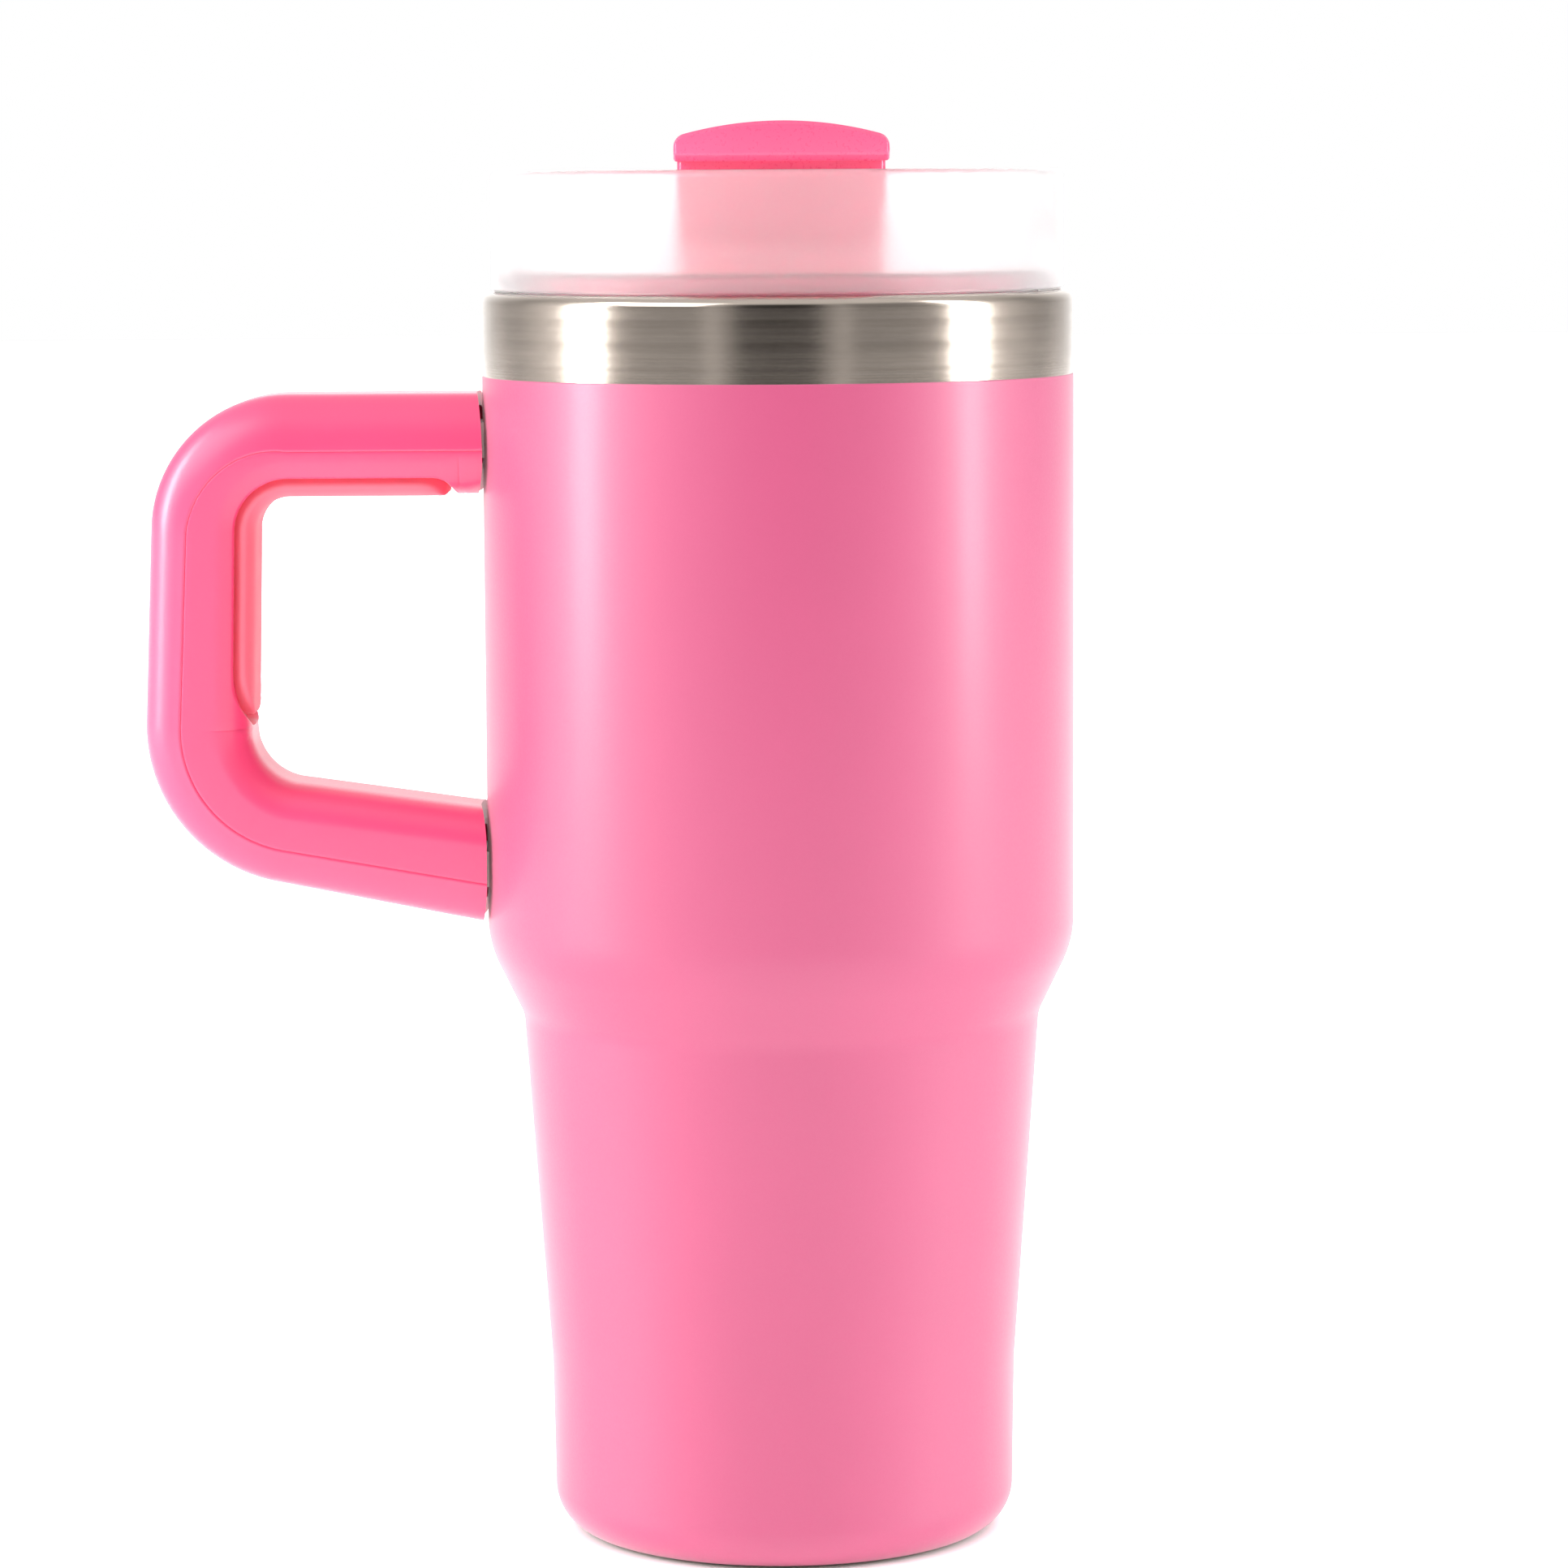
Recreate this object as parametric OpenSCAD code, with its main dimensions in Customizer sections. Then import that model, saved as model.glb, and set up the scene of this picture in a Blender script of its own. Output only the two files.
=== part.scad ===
// Insulated tumbler with a side handle, a threaded lid and a rotary drinking cover.
// The body's axis is Z, it stands on z = 0, the handle is towards -X, the front towards -Y.

/* [Body] */
// Radius of the upper cylinder, over the coating
body_r = 42; // [41.5:0.1:42.5]
// Height of the steel rim above the resting face
rim_z = 178; // [174:1:182]
// Radius just above the rounded foot
foot_r = 33.1; // [32.5:0.1:33.5]
// Radius of the rounding at the foot
foot_round = 6.3; // [5.5:0.1:7]
// Radius where the lower cone meets the shoulder
crease_r = 37; // [36.6:0.1:37.4]
// Angle of the shoulder from the vertical
shoulder_angle = 25.9; // [24:0.1:28]
// Radius of the soft rounding above the shoulder
shoulder_round = 15; // [12:0.5:18]
// Height at which the shoulder has become the upper cylinder
shoulder_z = 88.8; // [86:0.2:92]
// Height at which the lower cone starts
knee_z = 24.5; // [20:0.5:30]
// Radius at the start of the lower cone
knee_r = 33.4; // [33.2:0.1:33.8]

/* [Walls] */
// Thickness of the powder coating
coat_t = 0.2; // [0.15:0.05:0.3]
// Thickness of each steel wall
steel_t = 0.8; // [0.6:0.1:0.9]
// Vacuum gap between the two walls
vacuum_gap = 2.8; // [2.5:0.1:3]
// Height of the bare steel band below the rim
band_h = 11.8; // [10:0.2:13]
// Radius of the drinking mouth
mouth_r = 38.6; // [38.4:0.1:38.8]
// Height of the floor inside the liner
floor_z = 8.8; // [8.5:0.1:11]

/* [Handle] */
// Width of the handle across the grip
handle_w = 19.5; // [18.5:0.5:20.5]
// Rounding of the handle's section
handle_round = 5.2; // [4.8:0.1:5.5]
// Thickness of the upper arm
upper_arm_t = 14.2; // [13.8:0.1:14.6]
// Thickness at the middle of the grip
grip_t = 15; // [14.4:0.1:15.4]
// Thickness of the lower arm where it meets the body
lower_arm_t = 16.4; // [15.5:0.1:17]
// Centreline height of the level upper arm
upper_arm_z = 156.8; // [155:0.2:158]
// Distance of the upper bend's centre from the body's axis
upper_bend_x = 69.4; // [68.5:0.1:70]
// Centreline radius of the upper bend
upper_bend_r = 12.6; // [12.4:0.1:13.2]
// Angle through which the upper bend turns
upper_turn = 88; // [86:1:89]
// Length of the straight grip
grip_len = 27.5; // [26.5:0.5:29.5]
// Centreline radius of the lower bend
lower_bend_r = 15.4; // [14.8:0.2:16.4]
// Angle through which the lower bend turns
lower_turn = 82.5; // [81:0.5:84]
// How far the soft inlay stands proud of the handle
inlay_proud = 0.4; // [0.2:0.1:0.5]

/* [Lid] */
// Outer radius of the collar
collar_r = 40.5; // [40.3:0.1:40.8]
// Wall thickness of the collar
collar_t = 2.4; // [2.3:0.1:2.5]
// Height of the collar's top above the rim
collar_h = 17; // [16:0.5:19]
// Depth of the threaded skirt below the rim
skirt_depth = 17.5; // [17:0.5:19]
// Depth of the lid deck's upper face below the rim
deck_depth = 1.5; // [1:0.1:2]
// Thickness of the deck
deck_t = 2; // [1.9:0.1:2.2]
// Axial advance of the thread in one turn
thread_lead = 12; // [11:0.5:14]
// Number of thread starts
thread_starts = 3; // [2:1:3]
// Angle that each thread ridge spans
thread_span = 100; // [80:5:110]

/* [Rotary cover] */
// Radius of the rotary cover
cover_r = 34.2; // [33.8:0.1:34.3]
// Thickness of the cover's disc
cover_t = 2.4; // [2.2:0.1:2.6]
// Width of the thumb tab
tab_w = 29.2; // [27:0.2:31]
// Height of the tab's crown above the rim
tab_h = 23.5; // [22:0.5:26]
// Rise of the arch along the tab's crown
tab_arch = 2.1; // [1.5:0.1:2.5]
// Turn of the cover about the body's axis when it is closed
closed_turn = 1.1; // [0:0.1:3]
// Turn of the cover between closed and either opening
open_turn = 60; // [56:1:64]
// Bore of the straw seal
straw_r = 4.1; // [3.8:0.1:4.3]

/* [Hidden] */
$fn = 96;

// body
arc_steps = 8;
shell_d = coat_t;                           // depth of each wall's face under the coating
shell_in_d = shell_d + steel_t;
liner_out_d = shell_in_d + vacuum_gap;
liner_in_d = liner_out_d + steel_t;
foot_c = foot_r - foot_round;               // radius of the foot rounding's centre
foot_cz = foot_round - coat_t;
crease_z = shoulder_z - shoulder_round * sin(shoulder_angle)
  - (body_r - shoulder_round * (1 - cos(shoulder_angle)) - crease_r) / tan(shoulder_angle);
coat_top_z = rim_z - band_h;
coat_foot_z = 0.6;
rim_round = (body_r - coat_t - mouth_r) / 2;
rim_c = mouth_r + rim_round;
rim_cz = rim_z - rim_round;
mouth_z = rim_z - 20;                       // end of the wide mouth that holds the thread
floor_round = 9;
lip_r = 25.4;                               // turned-up lip inside the foot
base_z = 2.2;
dimple_r = 8;
dimple_h = 2;
port_r = 1.2;

// handle
arm_gap = 0.8;                              // crescent between the arms and the body
arm_root = 38;                              // the arms start inside the body and are cut back
wall_side = 2.75;
wall_in = 3.45;                             // behind the inlay
wall_out = 2;
cavity_round = 2.5;
inlay_depth = 1.65;                         // of the inlay's pocket
inlay_wrap = 2.75;                          // reach of the inlay round the handle's sides
inlay_side = 1.35;                          // thickness of the inlay there
pocket_round = inlay_wrap - inlay_depth;
inlay_start = 45;                           // distance of the inlay's end from the body's axis
inlay_end = 0.95;                           // share of the grip that the inlay covers
bend_steps = 9;
upper_c = [-upper_bend_x, upper_arm_z - upper_bend_r];
grip_dir = 90 + upper_turn;
grip_0 = upper_c + upper_bend_r * [cos(grip_dir), sin(grip_dir)];
grip_1 = grip_0 + grip_len * [-sin(grip_dir), cos(grip_dir)];
lower_c = grip_1 - lower_bend_r * [cos(grip_dir), sin(grip_dir)];
low_dir = grip_dir + lower_turn;
low_0 = lower_c + lower_bend_r * [cos(low_dir), sin(low_dir)];
low_len = (-arm_root - low_0[0]) / -sin(low_dir);
// faces of the handle and its parting line, measured outwards from the centreline
upper_faces = [-upper_arm_t / 2, upper_arm_t / 2, -0.9];
grip_top_faces = [-grip_t / 2 - 0.1, grip_t / 2 - 0.5, 1.5];
grip_end_faces = [-grip_t / 2 - 0.4, grip_t / 2 - 0.3, 1.8];
low_faces = [-grip_t / 2 + 0.15, grip_t / 2 - 0.3, 2];
root_faces = [-lower_arm_t / 2, lower_arm_t / 2, 2.2];
screw_x = 50;
upper_screw = screw_x - arm_root;
lower_screw = (-screw_x - low_0[0]) / -sin(low_dir);
upper_at = upper_faces;
lower_at = mix(low_faces, root_faces, lower_screw / low_len);
bracket_in = -2;
bracket_out = 3;
bracket_w = 12;
bracket_x = 56;
head_r = 3;
head_h = 1.7;
shank_r = 1.5;
shank_fit = 0.25;
seat_u = bracket_out + 1.6;                 // seat of the lower screw's head

// lid
collar_in = collar_r - collar_t;
collar_z = rim_z + collar_h;
deck_z = rim_z - deck_depth;
ledge_z = rim_z + 2.6;                      // ledge inside the collar, over the rim
skirt_z = rim_z - skirt_depth;
skirt_r = mouth_r - 1.6;
skirt_in = skirt_r - 2.2;
thread_reach = 1.2;                         // height of a ridge from its wall
thread_z = rim_z - 13;                      // liner ridge's start; the lid's lies under it
thread_pitch = thread_lead / thread_starts;
gasket_z0 = rim_z - 4.4;
gasket_z1 = rim_z - 1;
gasket_in = skirt_r - 0.8;
gasket_r = mouth_r - 0.1;
hub_r = 6;
hub_fit = 0.05;
hub_well_r = 8;
hub_well_d = 1.2;
cover_z = deck_z + 0.4;
cover_top = cover_z + cover_t;
hub_z = deck_z - deck_t - 0.2;
washer_t = 0.8;
pivot_shank_r = 2;
window_r0 = 15.5;
window_r1 = 31.6;
window_half = 15;
window_round = 3;
window_at = 90 - open_turn;                 // direction of the window when closed
slot_at = 90;
straw_at = 90 - 2 * open_turn;
slot_mid = 28.2;
slot_half_w = 3;
slot_half_a = 8;
straw_mid = 22;
tab_top = rim_z + tab_h;
tab_lip_z = collar_z + 1.1;
tab_lip_r = collar_r - 0.5;
tab_r = collar_in - 0.5;                    // the tab's front, close behind the collar
tab_knee_z = rim_z + 6;                     // the tab's front stands upright up to here
tab_knee_r = 31.5;
tab_front_z = rim_z + 15.5;                 // and leans out to the collar up to here
tab_back = 24.5;
arch_r = (tab_w * tab_w / 4 + tab_arch * tab_arch) / (2 * tab_arch);

function arc(c, z, r, a0, a1, n = arc_steps) =
  [for (i = [0:n]) let (a = a0 + (a1 - a0) * i / n) [c + r * cos(a), z + r * sin(a)]];

// outline of the body from the foot to the shoulder's top, a depth d under the coating
function flank(d) = concat(
  [[knee_r - d, knee_z], [crease_r - d, crease_z]],
  arc(body_r - shoulder_round, shoulder_z, shoulder_round - d, -shoulder_angle, 0));

function reversed(p) = [for (i = [len(p) - 1:-1:0]) p[i]];

function mirrored(p) = [for (q = reversed(p)) [q[0], -q[1]]];

function both_sides(p) = concat(p, mirrored(p));

function polar(a) = [cos(a), sin(a)];

// ---- the vessel ----

module outer_shell() {
  d0 = shell_d;
  d1 = shell_in_d;
  color("silver") rotate_extrude() polygon(concat(
    [[lip_r - steel_t, 0.4], [lip_r - 0.4, 0], [foot_c, 0]],
    arc(foot_c, foot_cz, foot_round - d0, -90, 0),
    flank(d0),
    arc(rim_c, rim_cz, rim_round, 0, 90),
    reversed(arc(rim_c, rim_cz, rim_round - steel_t, 0, 90)),
    reversed(flank(d1)),
    reversed(arc(foot_c, foot_cz, foot_round - d1, -90, 0)),
    [[lip_r, steel_t], [lip_r, 3], [lip_r - steel_t, 3]]));
}

module powder_coat() {
  low = -asin((foot_cz - coat_foot_z) / foot_round);
  color("hotpink") difference() {
    rotate_extrude() polygon(concat(
      arc(foot_c, foot_cz, foot_round, low, 0),
      flank(0),
      [[body_r, coat_top_z - 0.15], [body_r - 0.15, coat_top_z], [body_r - coat_t, coat_top_z]],
      reversed(flank(coat_t)),
      reversed(arc(foot_c, foot_cz, foot_round - coat_t, low, 0))));
    bracket_blank("upper", 0.1);
    bracket_blank("lower", 0.1);
  }
}

module inner_liner() {
  color("gainsboro") union() {
    rotate_extrude() polygon(concat(
      arc(rim_c, rim_cz, rim_round, 90, 180),
      [[mouth_r, mouth_z], [body_r - liner_in_d, mouth_z - 2.5]],
      reversed(flank(liner_in_d)),
      liner_floor(liner_in_d, floor_z),
      reversed(liner_floor(liner_out_d, floor_z - steel_t)),
      flank(liner_out_d),
      [[body_r - liner_out_d, mouth_z - 3], [mouth_r + steel_t, mouth_z - 0.5]],
      reversed(arc(rim_c, rim_cz, rim_round - steel_t, 90, 180))));
    thread(mouth_r + 0.3, mouth_r - thread_reach, thread_z);
  }
}

// floor of the liner, from the wall to the axis
function liner_floor(d, z) = concat(
  reversed(arc(knee_r - d - floor_round, z + floor_round, floor_round, -90, 0)),
  [[0, z]]);

module outer_base() {
  color("silver") difference() {
    rotate_extrude() polygon([
      [0, base_z + dimple_h], [dimple_r - 1, base_z + dimple_h], [dimple_r, base_z],
      [lip_r - steel_t, base_z], [lip_r - steel_t, base_z + steel_t],
      [dimple_r + 0.4, base_z + steel_t], [dimple_r - 0.6, base_z + dimple_h + steel_t],
      [0, base_z + dimple_h + steel_t]]);
    translate([0, 0, base_z]) cylinder(r = port_r, h = 6);
  }
}

module base_disc() {
  color("lightgray") rotate_extrude() polygon([
    [0, 1.1], [20, 1.1], [20.6, 0.8], [lip_r - steel_t - 0.3, 0.8],
    [lip_r - steel_t - 0.1, 1], [lip_r - steel_t - 0.1, 1.6], [0, 1.6]]);
}

// gas getter pellet in the vacuum space
module getter() {
  color("dimgray") translate([14, 0, base_z + steel_t]) rotate_extrude() polygon([
    [0, 0], [5, 0], [5, 1.6], [4.4, 2.2], [3, 2.2], [2.6, 1.7], [0, 1.7]]);
}

// solder bead that closes the evacuation port
module vacuum_seal() {
  color("gray") translate([0, 0, base_z + dimple_h]) rotate_extrude() polygon([
    [0, -0.9], [1.6, -0.7], [3, 0], [port_r, 0], [port_r, 0.6], [0, 0.6]]);
}

// multi-start helical ridges between the radii base and tip
module thread(base, tip, z) {
  for (s = [0:thread_starts - 1]) rotate([0, 0, 360 * s / thread_starts])
    ridge(base, tip, z, thread_span, 15);
}

module ridge(base, tip, z, span, n) {
  foot = 0.9;                               // half height at the wall and at the tip
  nose = 0.45;
  low = base + (tip - base) * 0.45;         // the ends run out towards the wall
  pts = [for (i = [0:n]) let (
      a = span * i / n, h = z + thread_lead * a / 360, r = (i == 0 || i == n) ? low : tip)
    each [[base * cos(a), base * sin(a), h - foot], [r * cos(a), r * sin(a), h - nose],
          [r * cos(a), r * sin(a), h + nose], [base * cos(a), base * sin(a), h + foot]]];
  out = tip > base;
  sides = [for (i = [0:n - 1], k = [0:3]) let (
      p = 4 * i + k, q = 4 * i + (k + 1) % 4) each [[p, p + 4, q + 4], [p, q + 4, q]]];
  ends = [[0, 1, 2], [0, 2, 3], [4 * n, 4 * n + 2, 4 * n + 1], [4 * n, 4 * n + 3, 4 * n + 2]];
  faces = concat(sides, ends);
  polyhedron(pts, out ? [for (f = faces) [f[0], f[2], f[1]]] : faces);
}

// ---- the handle ----

// A station of the handle is [x, z, outward direction, inner face, outer face, parting line].
function mix(a, b, t) = a + (b - a) * t;

function station(p, dir, faces) = concat(p, [dir], faces);

function upper_arm(x) = station([-x, upper_arm_z], 90, upper_faces);

function bend_stations(c, r, a0, turn, f0, f1) = [for (i = [1:bend_steps])
  let (t = i / bend_steps, a = a0 + turn * t)
  station(c + r * [cos(a), sin(a)], a, mix(f0, f1, t))];

upper_bend = bend_stations(upper_c, upper_bend_r, 90, upper_turn, upper_faces, grip_top_faces);
lower_bend = bend_stations(lower_c, lower_bend_r, grip_dir, lower_turn, grip_end_faces, low_faces);
inlay_stop = station(mix(grip_0, grip_1, inlay_end), grip_dir,
  mix(grip_top_faces, grip_end_faces, inlay_end));
handle_end = station(low_0 + low_len * [-sin(low_dir), cos(low_dir)], low_dir, root_faces);
grip_stop = station(grip_1, grip_dir, grip_end_faces);
inlay_stretch = concat([upper_arm(inlay_start), upper_arm(upper_bend_x)], upper_bend, [inlay_stop]);
whole_stretch = concat([upper_arm(arm_root), upper_arm(upper_bend_x)], upper_bend, [grip_stop],
  lower_bend, [handle_end]);

// sections of the handle at a station, in its outward and across directions
half_w = handle_w / 2;
cavity_w = half_w - wall_side;
core_w = half_w - inlay_side;
proud_a = acos(1 - (inlay_wrap + inlay_proud) / handle_round);

function outer_half(s) = concat(
  arc(s[4] - handle_round, half_w - handle_round, handle_round, 0, 90, 4), [[s[5], half_w]]);

function outer_cavity(s) = concat([[s[5], cavity_w]],
  arc(s[4] - wall_out - cavity_round, cavity_w - cavity_round, cavity_round, 90, 0, 2));

function outer_section(s) = concat(
  mirrored(outer_half(s)), outer_half(s), outer_cavity(s), mirrored(outer_cavity(s)));

function inner_section(s) = concat(
  [[s[5], half_w]],
  arc(s[3] + handle_round, half_w - handle_round, handle_round, 90, 180, 4),
  mirrored(arc(s[3] + handle_round, half_w - handle_round, handle_round, 90, 180, 4)),
  [[s[5], -half_w], [s[5], -cavity_w]],
  mirrored(arc(s[3] + wall_in + cavity_round, cavity_w - cavity_round, cavity_round, 180, 90, 2)),
  arc(s[3] + wall_in + cavity_round, cavity_w - cavity_round, cavity_round, 180, 90, 2),
  [[s[5], cavity_w]]);

function pocket(s) = arc(s[3] + inlay_wrap, core_w - pocket_round, pocket_round, 90, 180, 2);

function pocket_cut(s) = reversed(concat(
  [[s[3] + inlay_wrap, half_w + 1]], pocket(s), mirrored(pocket(s)),
  [[s[3] + inlay_wrap, -half_w - 1], [s[3] - 2, -half_w - 1], [s[3] - 2, half_w + 1]]));

function inlay_face(s) = arc(s[3] - inlay_proud + handle_round, half_w - handle_round,
  handle_round, 180 - proud_a, 180, 3);

function inlay_section(s) = concat(inlay_face(s), mirrored(inlay_face(s)),
  reversed(mirrored(pocket(s))), reversed(pocket(s)));

// solid through the sections of a list of stations
module loft(stations, sections) {
  n = len(sections[0]);
  last = len(stations) - 1;
  pts = [for (i = [0:last]) let (s = stations[i]) for (q = sections[i])
    [s[0] + q[0] * cos(s[2]), q[1], s[1] + q[0] * sin(s[2])]];
  sides = [for (i = [0:last - 1], k = [0:n - 1]) let (
      a = n * i + k, b = n * i + (k + 1) % n) each [[a, a + n, b], [b, a + n, b + n]]];
  polyhedron(pts, concat(sides, [[for (k = [0:n - 1]) k], [for (k = [n - 1:-1:0]) last * n + k]]));
}

// local x outwards, y along the path, from a point with the given outward direction
module at(p, dir) rotate([90, 0, 0]) translate([p[0], p[1], 0]) rotate([0, 0, dir]) children();

module body_clearance() cylinder(r = body_r + arm_gap, h = 2 * rim_z);

// local frame at each screw: x outwards along the screw, y along the arm
module at_screw(arm) {
  if (arm == "upper") at([-arm_root, upper_arm_z], 90) translate([0, upper_screw, 0]) children();
  else at(low_0, low_dir) translate([0, lower_screw, 0]) children();
}

module peg(r, u0, u1) translate([u0, 0, 0]) rotate([0, 90, 0]) cylinder(r = r, h = u1 - u0);

module bracket_blank(arm, extra = 0) {
  reach = bracket_x - screw_x;
  at_screw(arm) translate([bracket_in - extra, arm == "upper" ? -20 : -reach - extra,
      -bracket_w / 2 - extra])
    cube([bracket_out - bracket_in + 2 * extra, 20 + reach + extra, bracket_w + 2 * extra]);
}

module bracket(arm) {
  color("silver") difference() {
    bracket_blank(arm);
    cylinder(r = body_r - coat_t, h = 2 * rim_z);
    at_screw(arm) peg(shank_r, bracket_in - 1, bracket_out + 1);
  }
}

module upper_handle_bracket() bracket("upper");

module lower_handle_bracket() bracket("lower");

module handle_outer_shell() {
  color("hotpink") difference() {
    union() {
      loft(whole_stretch, [for (s = whole_stretch) outer_section(s)]);
      at_screw("upper") peg(4, bracket_out, upper_at[1] - wall_out + 0.5);
      at_screw("lower") peg(4.6, bracket_out, lower_at[1] - wall_out + 0.5);
    }
    body_clearance();
    at_screw("upper") peg(shank_r, bracket_out - 1, upper_at[1] - wall_out);
    at_screw("lower") peg(shank_r + shank_fit, bracket_out - 1, seat_u + 1);
    at_screw("lower") peg(head_r + 0.2, seat_u, lower_at[1] + 2);
  }
}

module handle_inner_shell() {
  color("pink") difference() {
    union() {
      loft(whole_stretch, [for (s = whole_stretch) inner_section(s)]);
      at_screw("upper") peg(4.6, upper_at[0] + inlay_depth + 0.5, bracket_in);
      at_screw("lower") peg(4, lower_at[0] + wall_in - 0.5, bracket_in);
    }
    body_clearance();
    loft(inlay_stretch, [for (s = inlay_stretch) pocket_cut(s)]);
    at_screw("upper") peg(shank_r + shank_fit, upper_at[0] - 1, bracket_in + 1);
    at_screw("upper") peg(head_r + 0.2, upper_at[0] - 1, upper_at[0] + wall_in);
    at_screw("lower") peg(shank_r, lower_at[0] + wall_in, bracket_in + 1);
  }
}

module grip_inlay() {
  color("salmon") loft(inlay_stretch, [for (s = inlay_stretch) inlay_section(s)]);
}

module handle_screws() {
  color("gray") {
    at_screw("upper") {
      peg(head_r, upper_at[0] + wall_in - head_h, upper_at[0] + wall_in);
      peg(shank_r, upper_at[0] + wall_in, upper_at[1] - wall_out - 0.4);
    }
    at_screw("lower") {
      peg(head_r, seat_u, seat_u + head_h);
      peg(shank_r, lower_at[0] + wall_in + 0.4, seat_u);
    }
  }
}

module screw_plug() {
  color("deeppink") at_screw("lower") peg(head_r + 0.2, seat_u + head_h + 0.1, lower_at[1] - 0.2);
}

// ---- the lid ----

module lid_body() {
  top_r = collar_t / 2;
  color("lavenderblush", 0.6) difference() {
    union() {
      rotate_extrude() polygon(concat(
        [[skirt_in, skirt_z], [skirt_r - 0.6, skirt_z], [skirt_r, skirt_z + 0.6],
         [skirt_r, gasket_z0 - 0.1], [gasket_in, gasket_z0 - 0.1], [gasket_in, gasket_z1 + 0.1],
         [skirt_r, gasket_z1 + 0.1], [skirt_r, rim_z + 0.2], [collar_r - 0.6, rim_z + 0.2],
         [collar_r, rim_z + 0.8]],
        arc(collar_r - top_r, collar_z - top_r, top_r, 0, 180),
        [[collar_in, ledge_z], [skirt_in, ledge_z], [skirt_in, deck_z], [hub_well_r, deck_z],
         [hub_well_r, deck_z - hub_well_d], [hub_r + hub_fit, deck_z - hub_well_d],
         [hub_r + hub_fit, deck_z - deck_t],
         [skirt_in - 1, deck_z - deck_t], [skirt_in, deck_z - deck_t - 1]]));
      thread(skirt_r - 0.3, skirt_r + thread_reach, thread_z - thread_pitch / 2);
    }
    rotate([0, 0, closed_turn]) {
      straw_hole(7.6, 0.9);
      translate([0, 0, deck_z - deck_t - 1]) linear_extrude(deck_t + 2) slot_outline(slot_half_w);
      translate([0, 0, deck_z - 0.8]) linear_extrude(2) slot_outline(slot_half_w + 1.4);
      rotate([0, 0, slot_at]) translate([straw_mid - 2, 0, deck_z - deck_t - 1])
        cylinder(r = 0.9, h = deck_t + 2);
    }
  }
}

module straw_place() rotate([0, 0, straw_at]) translate([straw_mid, 0, 0]) children();

module straw_hole(flange, depth) straw_place() {
  translate([0, 0, deck_z - deck_t - 1]) cylinder(r = straw_r + 1.9, h = deck_t + 2);
  translate([0, 0, deck_z - depth]) cylinder(r = flange, h = depth + 1);
}

// curved slot with round ends, of the given half width
module slot_outline(half) {
  end = slot_mid * [cos(slot_half_a), sin(slot_half_a)];
  side = [for (i = [1:6]) (slot_mid + half) * polar(slot_half_a * i / 6)];
  round_end = [for (i = [1:11]) end + half * polar(slot_half_a + 180 * i / 12)];
  back = [for (i = [6:-1:1]) (slot_mid - half) * polar(slot_half_a * i / 6)];
  rotate([0, 0, slot_at]) polygon(both_sides(concat(side, round_end, back)));
}

module slot_seal() {
  color("white") rotate([0, 0, closed_turn]) translate([0, 0, deck_z - 0.8]) linear_extrude(1.1)
    difference() {
      slot_outline(slot_half_w + 1.3);
      slot_outline(slot_half_w + 0.1);
    }
}

module straw_seal() {
  color("white") rotate([0, 0, closed_turn]) straw_place() rotate_extrude() polygon([
    [straw_r, deck_z - deck_t - 1.2], [straw_r + 3, deck_z - deck_t - 1.2],
    [straw_r + 3, deck_z - deck_t], [straw_r + 1.85, deck_z - deck_t],
    [straw_r + 1.85, deck_z - 0.9], [straw_r + 3.4, deck_z - 0.9], [straw_r + 3.4, deck_z + 0.1],
    [straw_r + 0.6, deck_z + 0.3], [straw_r, deck_z - 0.2]]);
}

module lid_gasket() {
  mid = (gasket_z0 + gasket_z1) / 2;
  root_r = gasket_in + 0.08;
  fin_r = mouth_r - 1;
  color("white") rotate_extrude() polygon([
    [root_r, gasket_z0], [fin_r, gasket_z0], [gasket_r, gasket_z0 + 0.5],
    [gasket_r, gasket_z0 + 0.8], [fin_r, mid - 0.3], [fin_r, mid + 0.3],
    [gasket_r, gasket_z1 - 0.8], [gasket_r, gasket_z1 - 0.5], [fin_r, gasket_z1],
    [root_r, gasket_z1]]);
}

module hub_seal() {
  color("black") translate([0, 0, deck_z - hub_well_d + 0.78]) rotate_extrude()
    translate([(hub_r + hub_well_r) / 2, 0]) circle(0.75);
}

// rounded window through the cover's disc
module window_outline() {
  r0 = window_r0 + window_round;
  r1 = window_r1 - window_round;
  a0 = window_half - asin(window_round / r0);
  a1 = window_half - asin(window_round / r1);
  rim = [for (i = [1:3]) window_r1 * polar(a1 * i / 3)];
  far = arc(r1 * cos(a1), r1 * sin(a1), window_round, a1 + 15, window_half + 90, 5);
  near = arc(r0 * cos(a0), r0 * sin(a0), window_round, window_half + 90, a0 + 165, 5);
  hub_side = [for (i = [3:-1:1]) window_r0 * polar(a0 * i / 3)];
  rotate([0, 0, window_at]) polygon(both_sides(concat(rim, far, near, hub_side)));
}

module rotary_cover() {
  color("hotpink") rotate([0, 0, closed_turn]) difference() {
    union() {
      rotate_extrude() polygon([
        [0, hub_z], [hub_r, hub_z], [hub_r, cover_z], [cover_r - 0.5, cover_z],
        [cover_r, cover_z + 0.5], [cover_r, cover_top + 0.5], [cover_r - 0.5, cover_top + 1],
        [cover_r - 1.2, cover_top + 1], [cover_r - 2, cover_top], [13, cover_top],
        [11, cover_top + 1], [9, cover_top + 1.3], [0, cover_top + 1.3]]);
      tab();
    }
    translate([0, 0, cover_z - 1]) linear_extrude(cover_t + 4) window_outline();
    translate([0, 0, hub_z - 1]) cylinder(r = pivot_shank_r, h = 5.4);
  }
}

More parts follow.
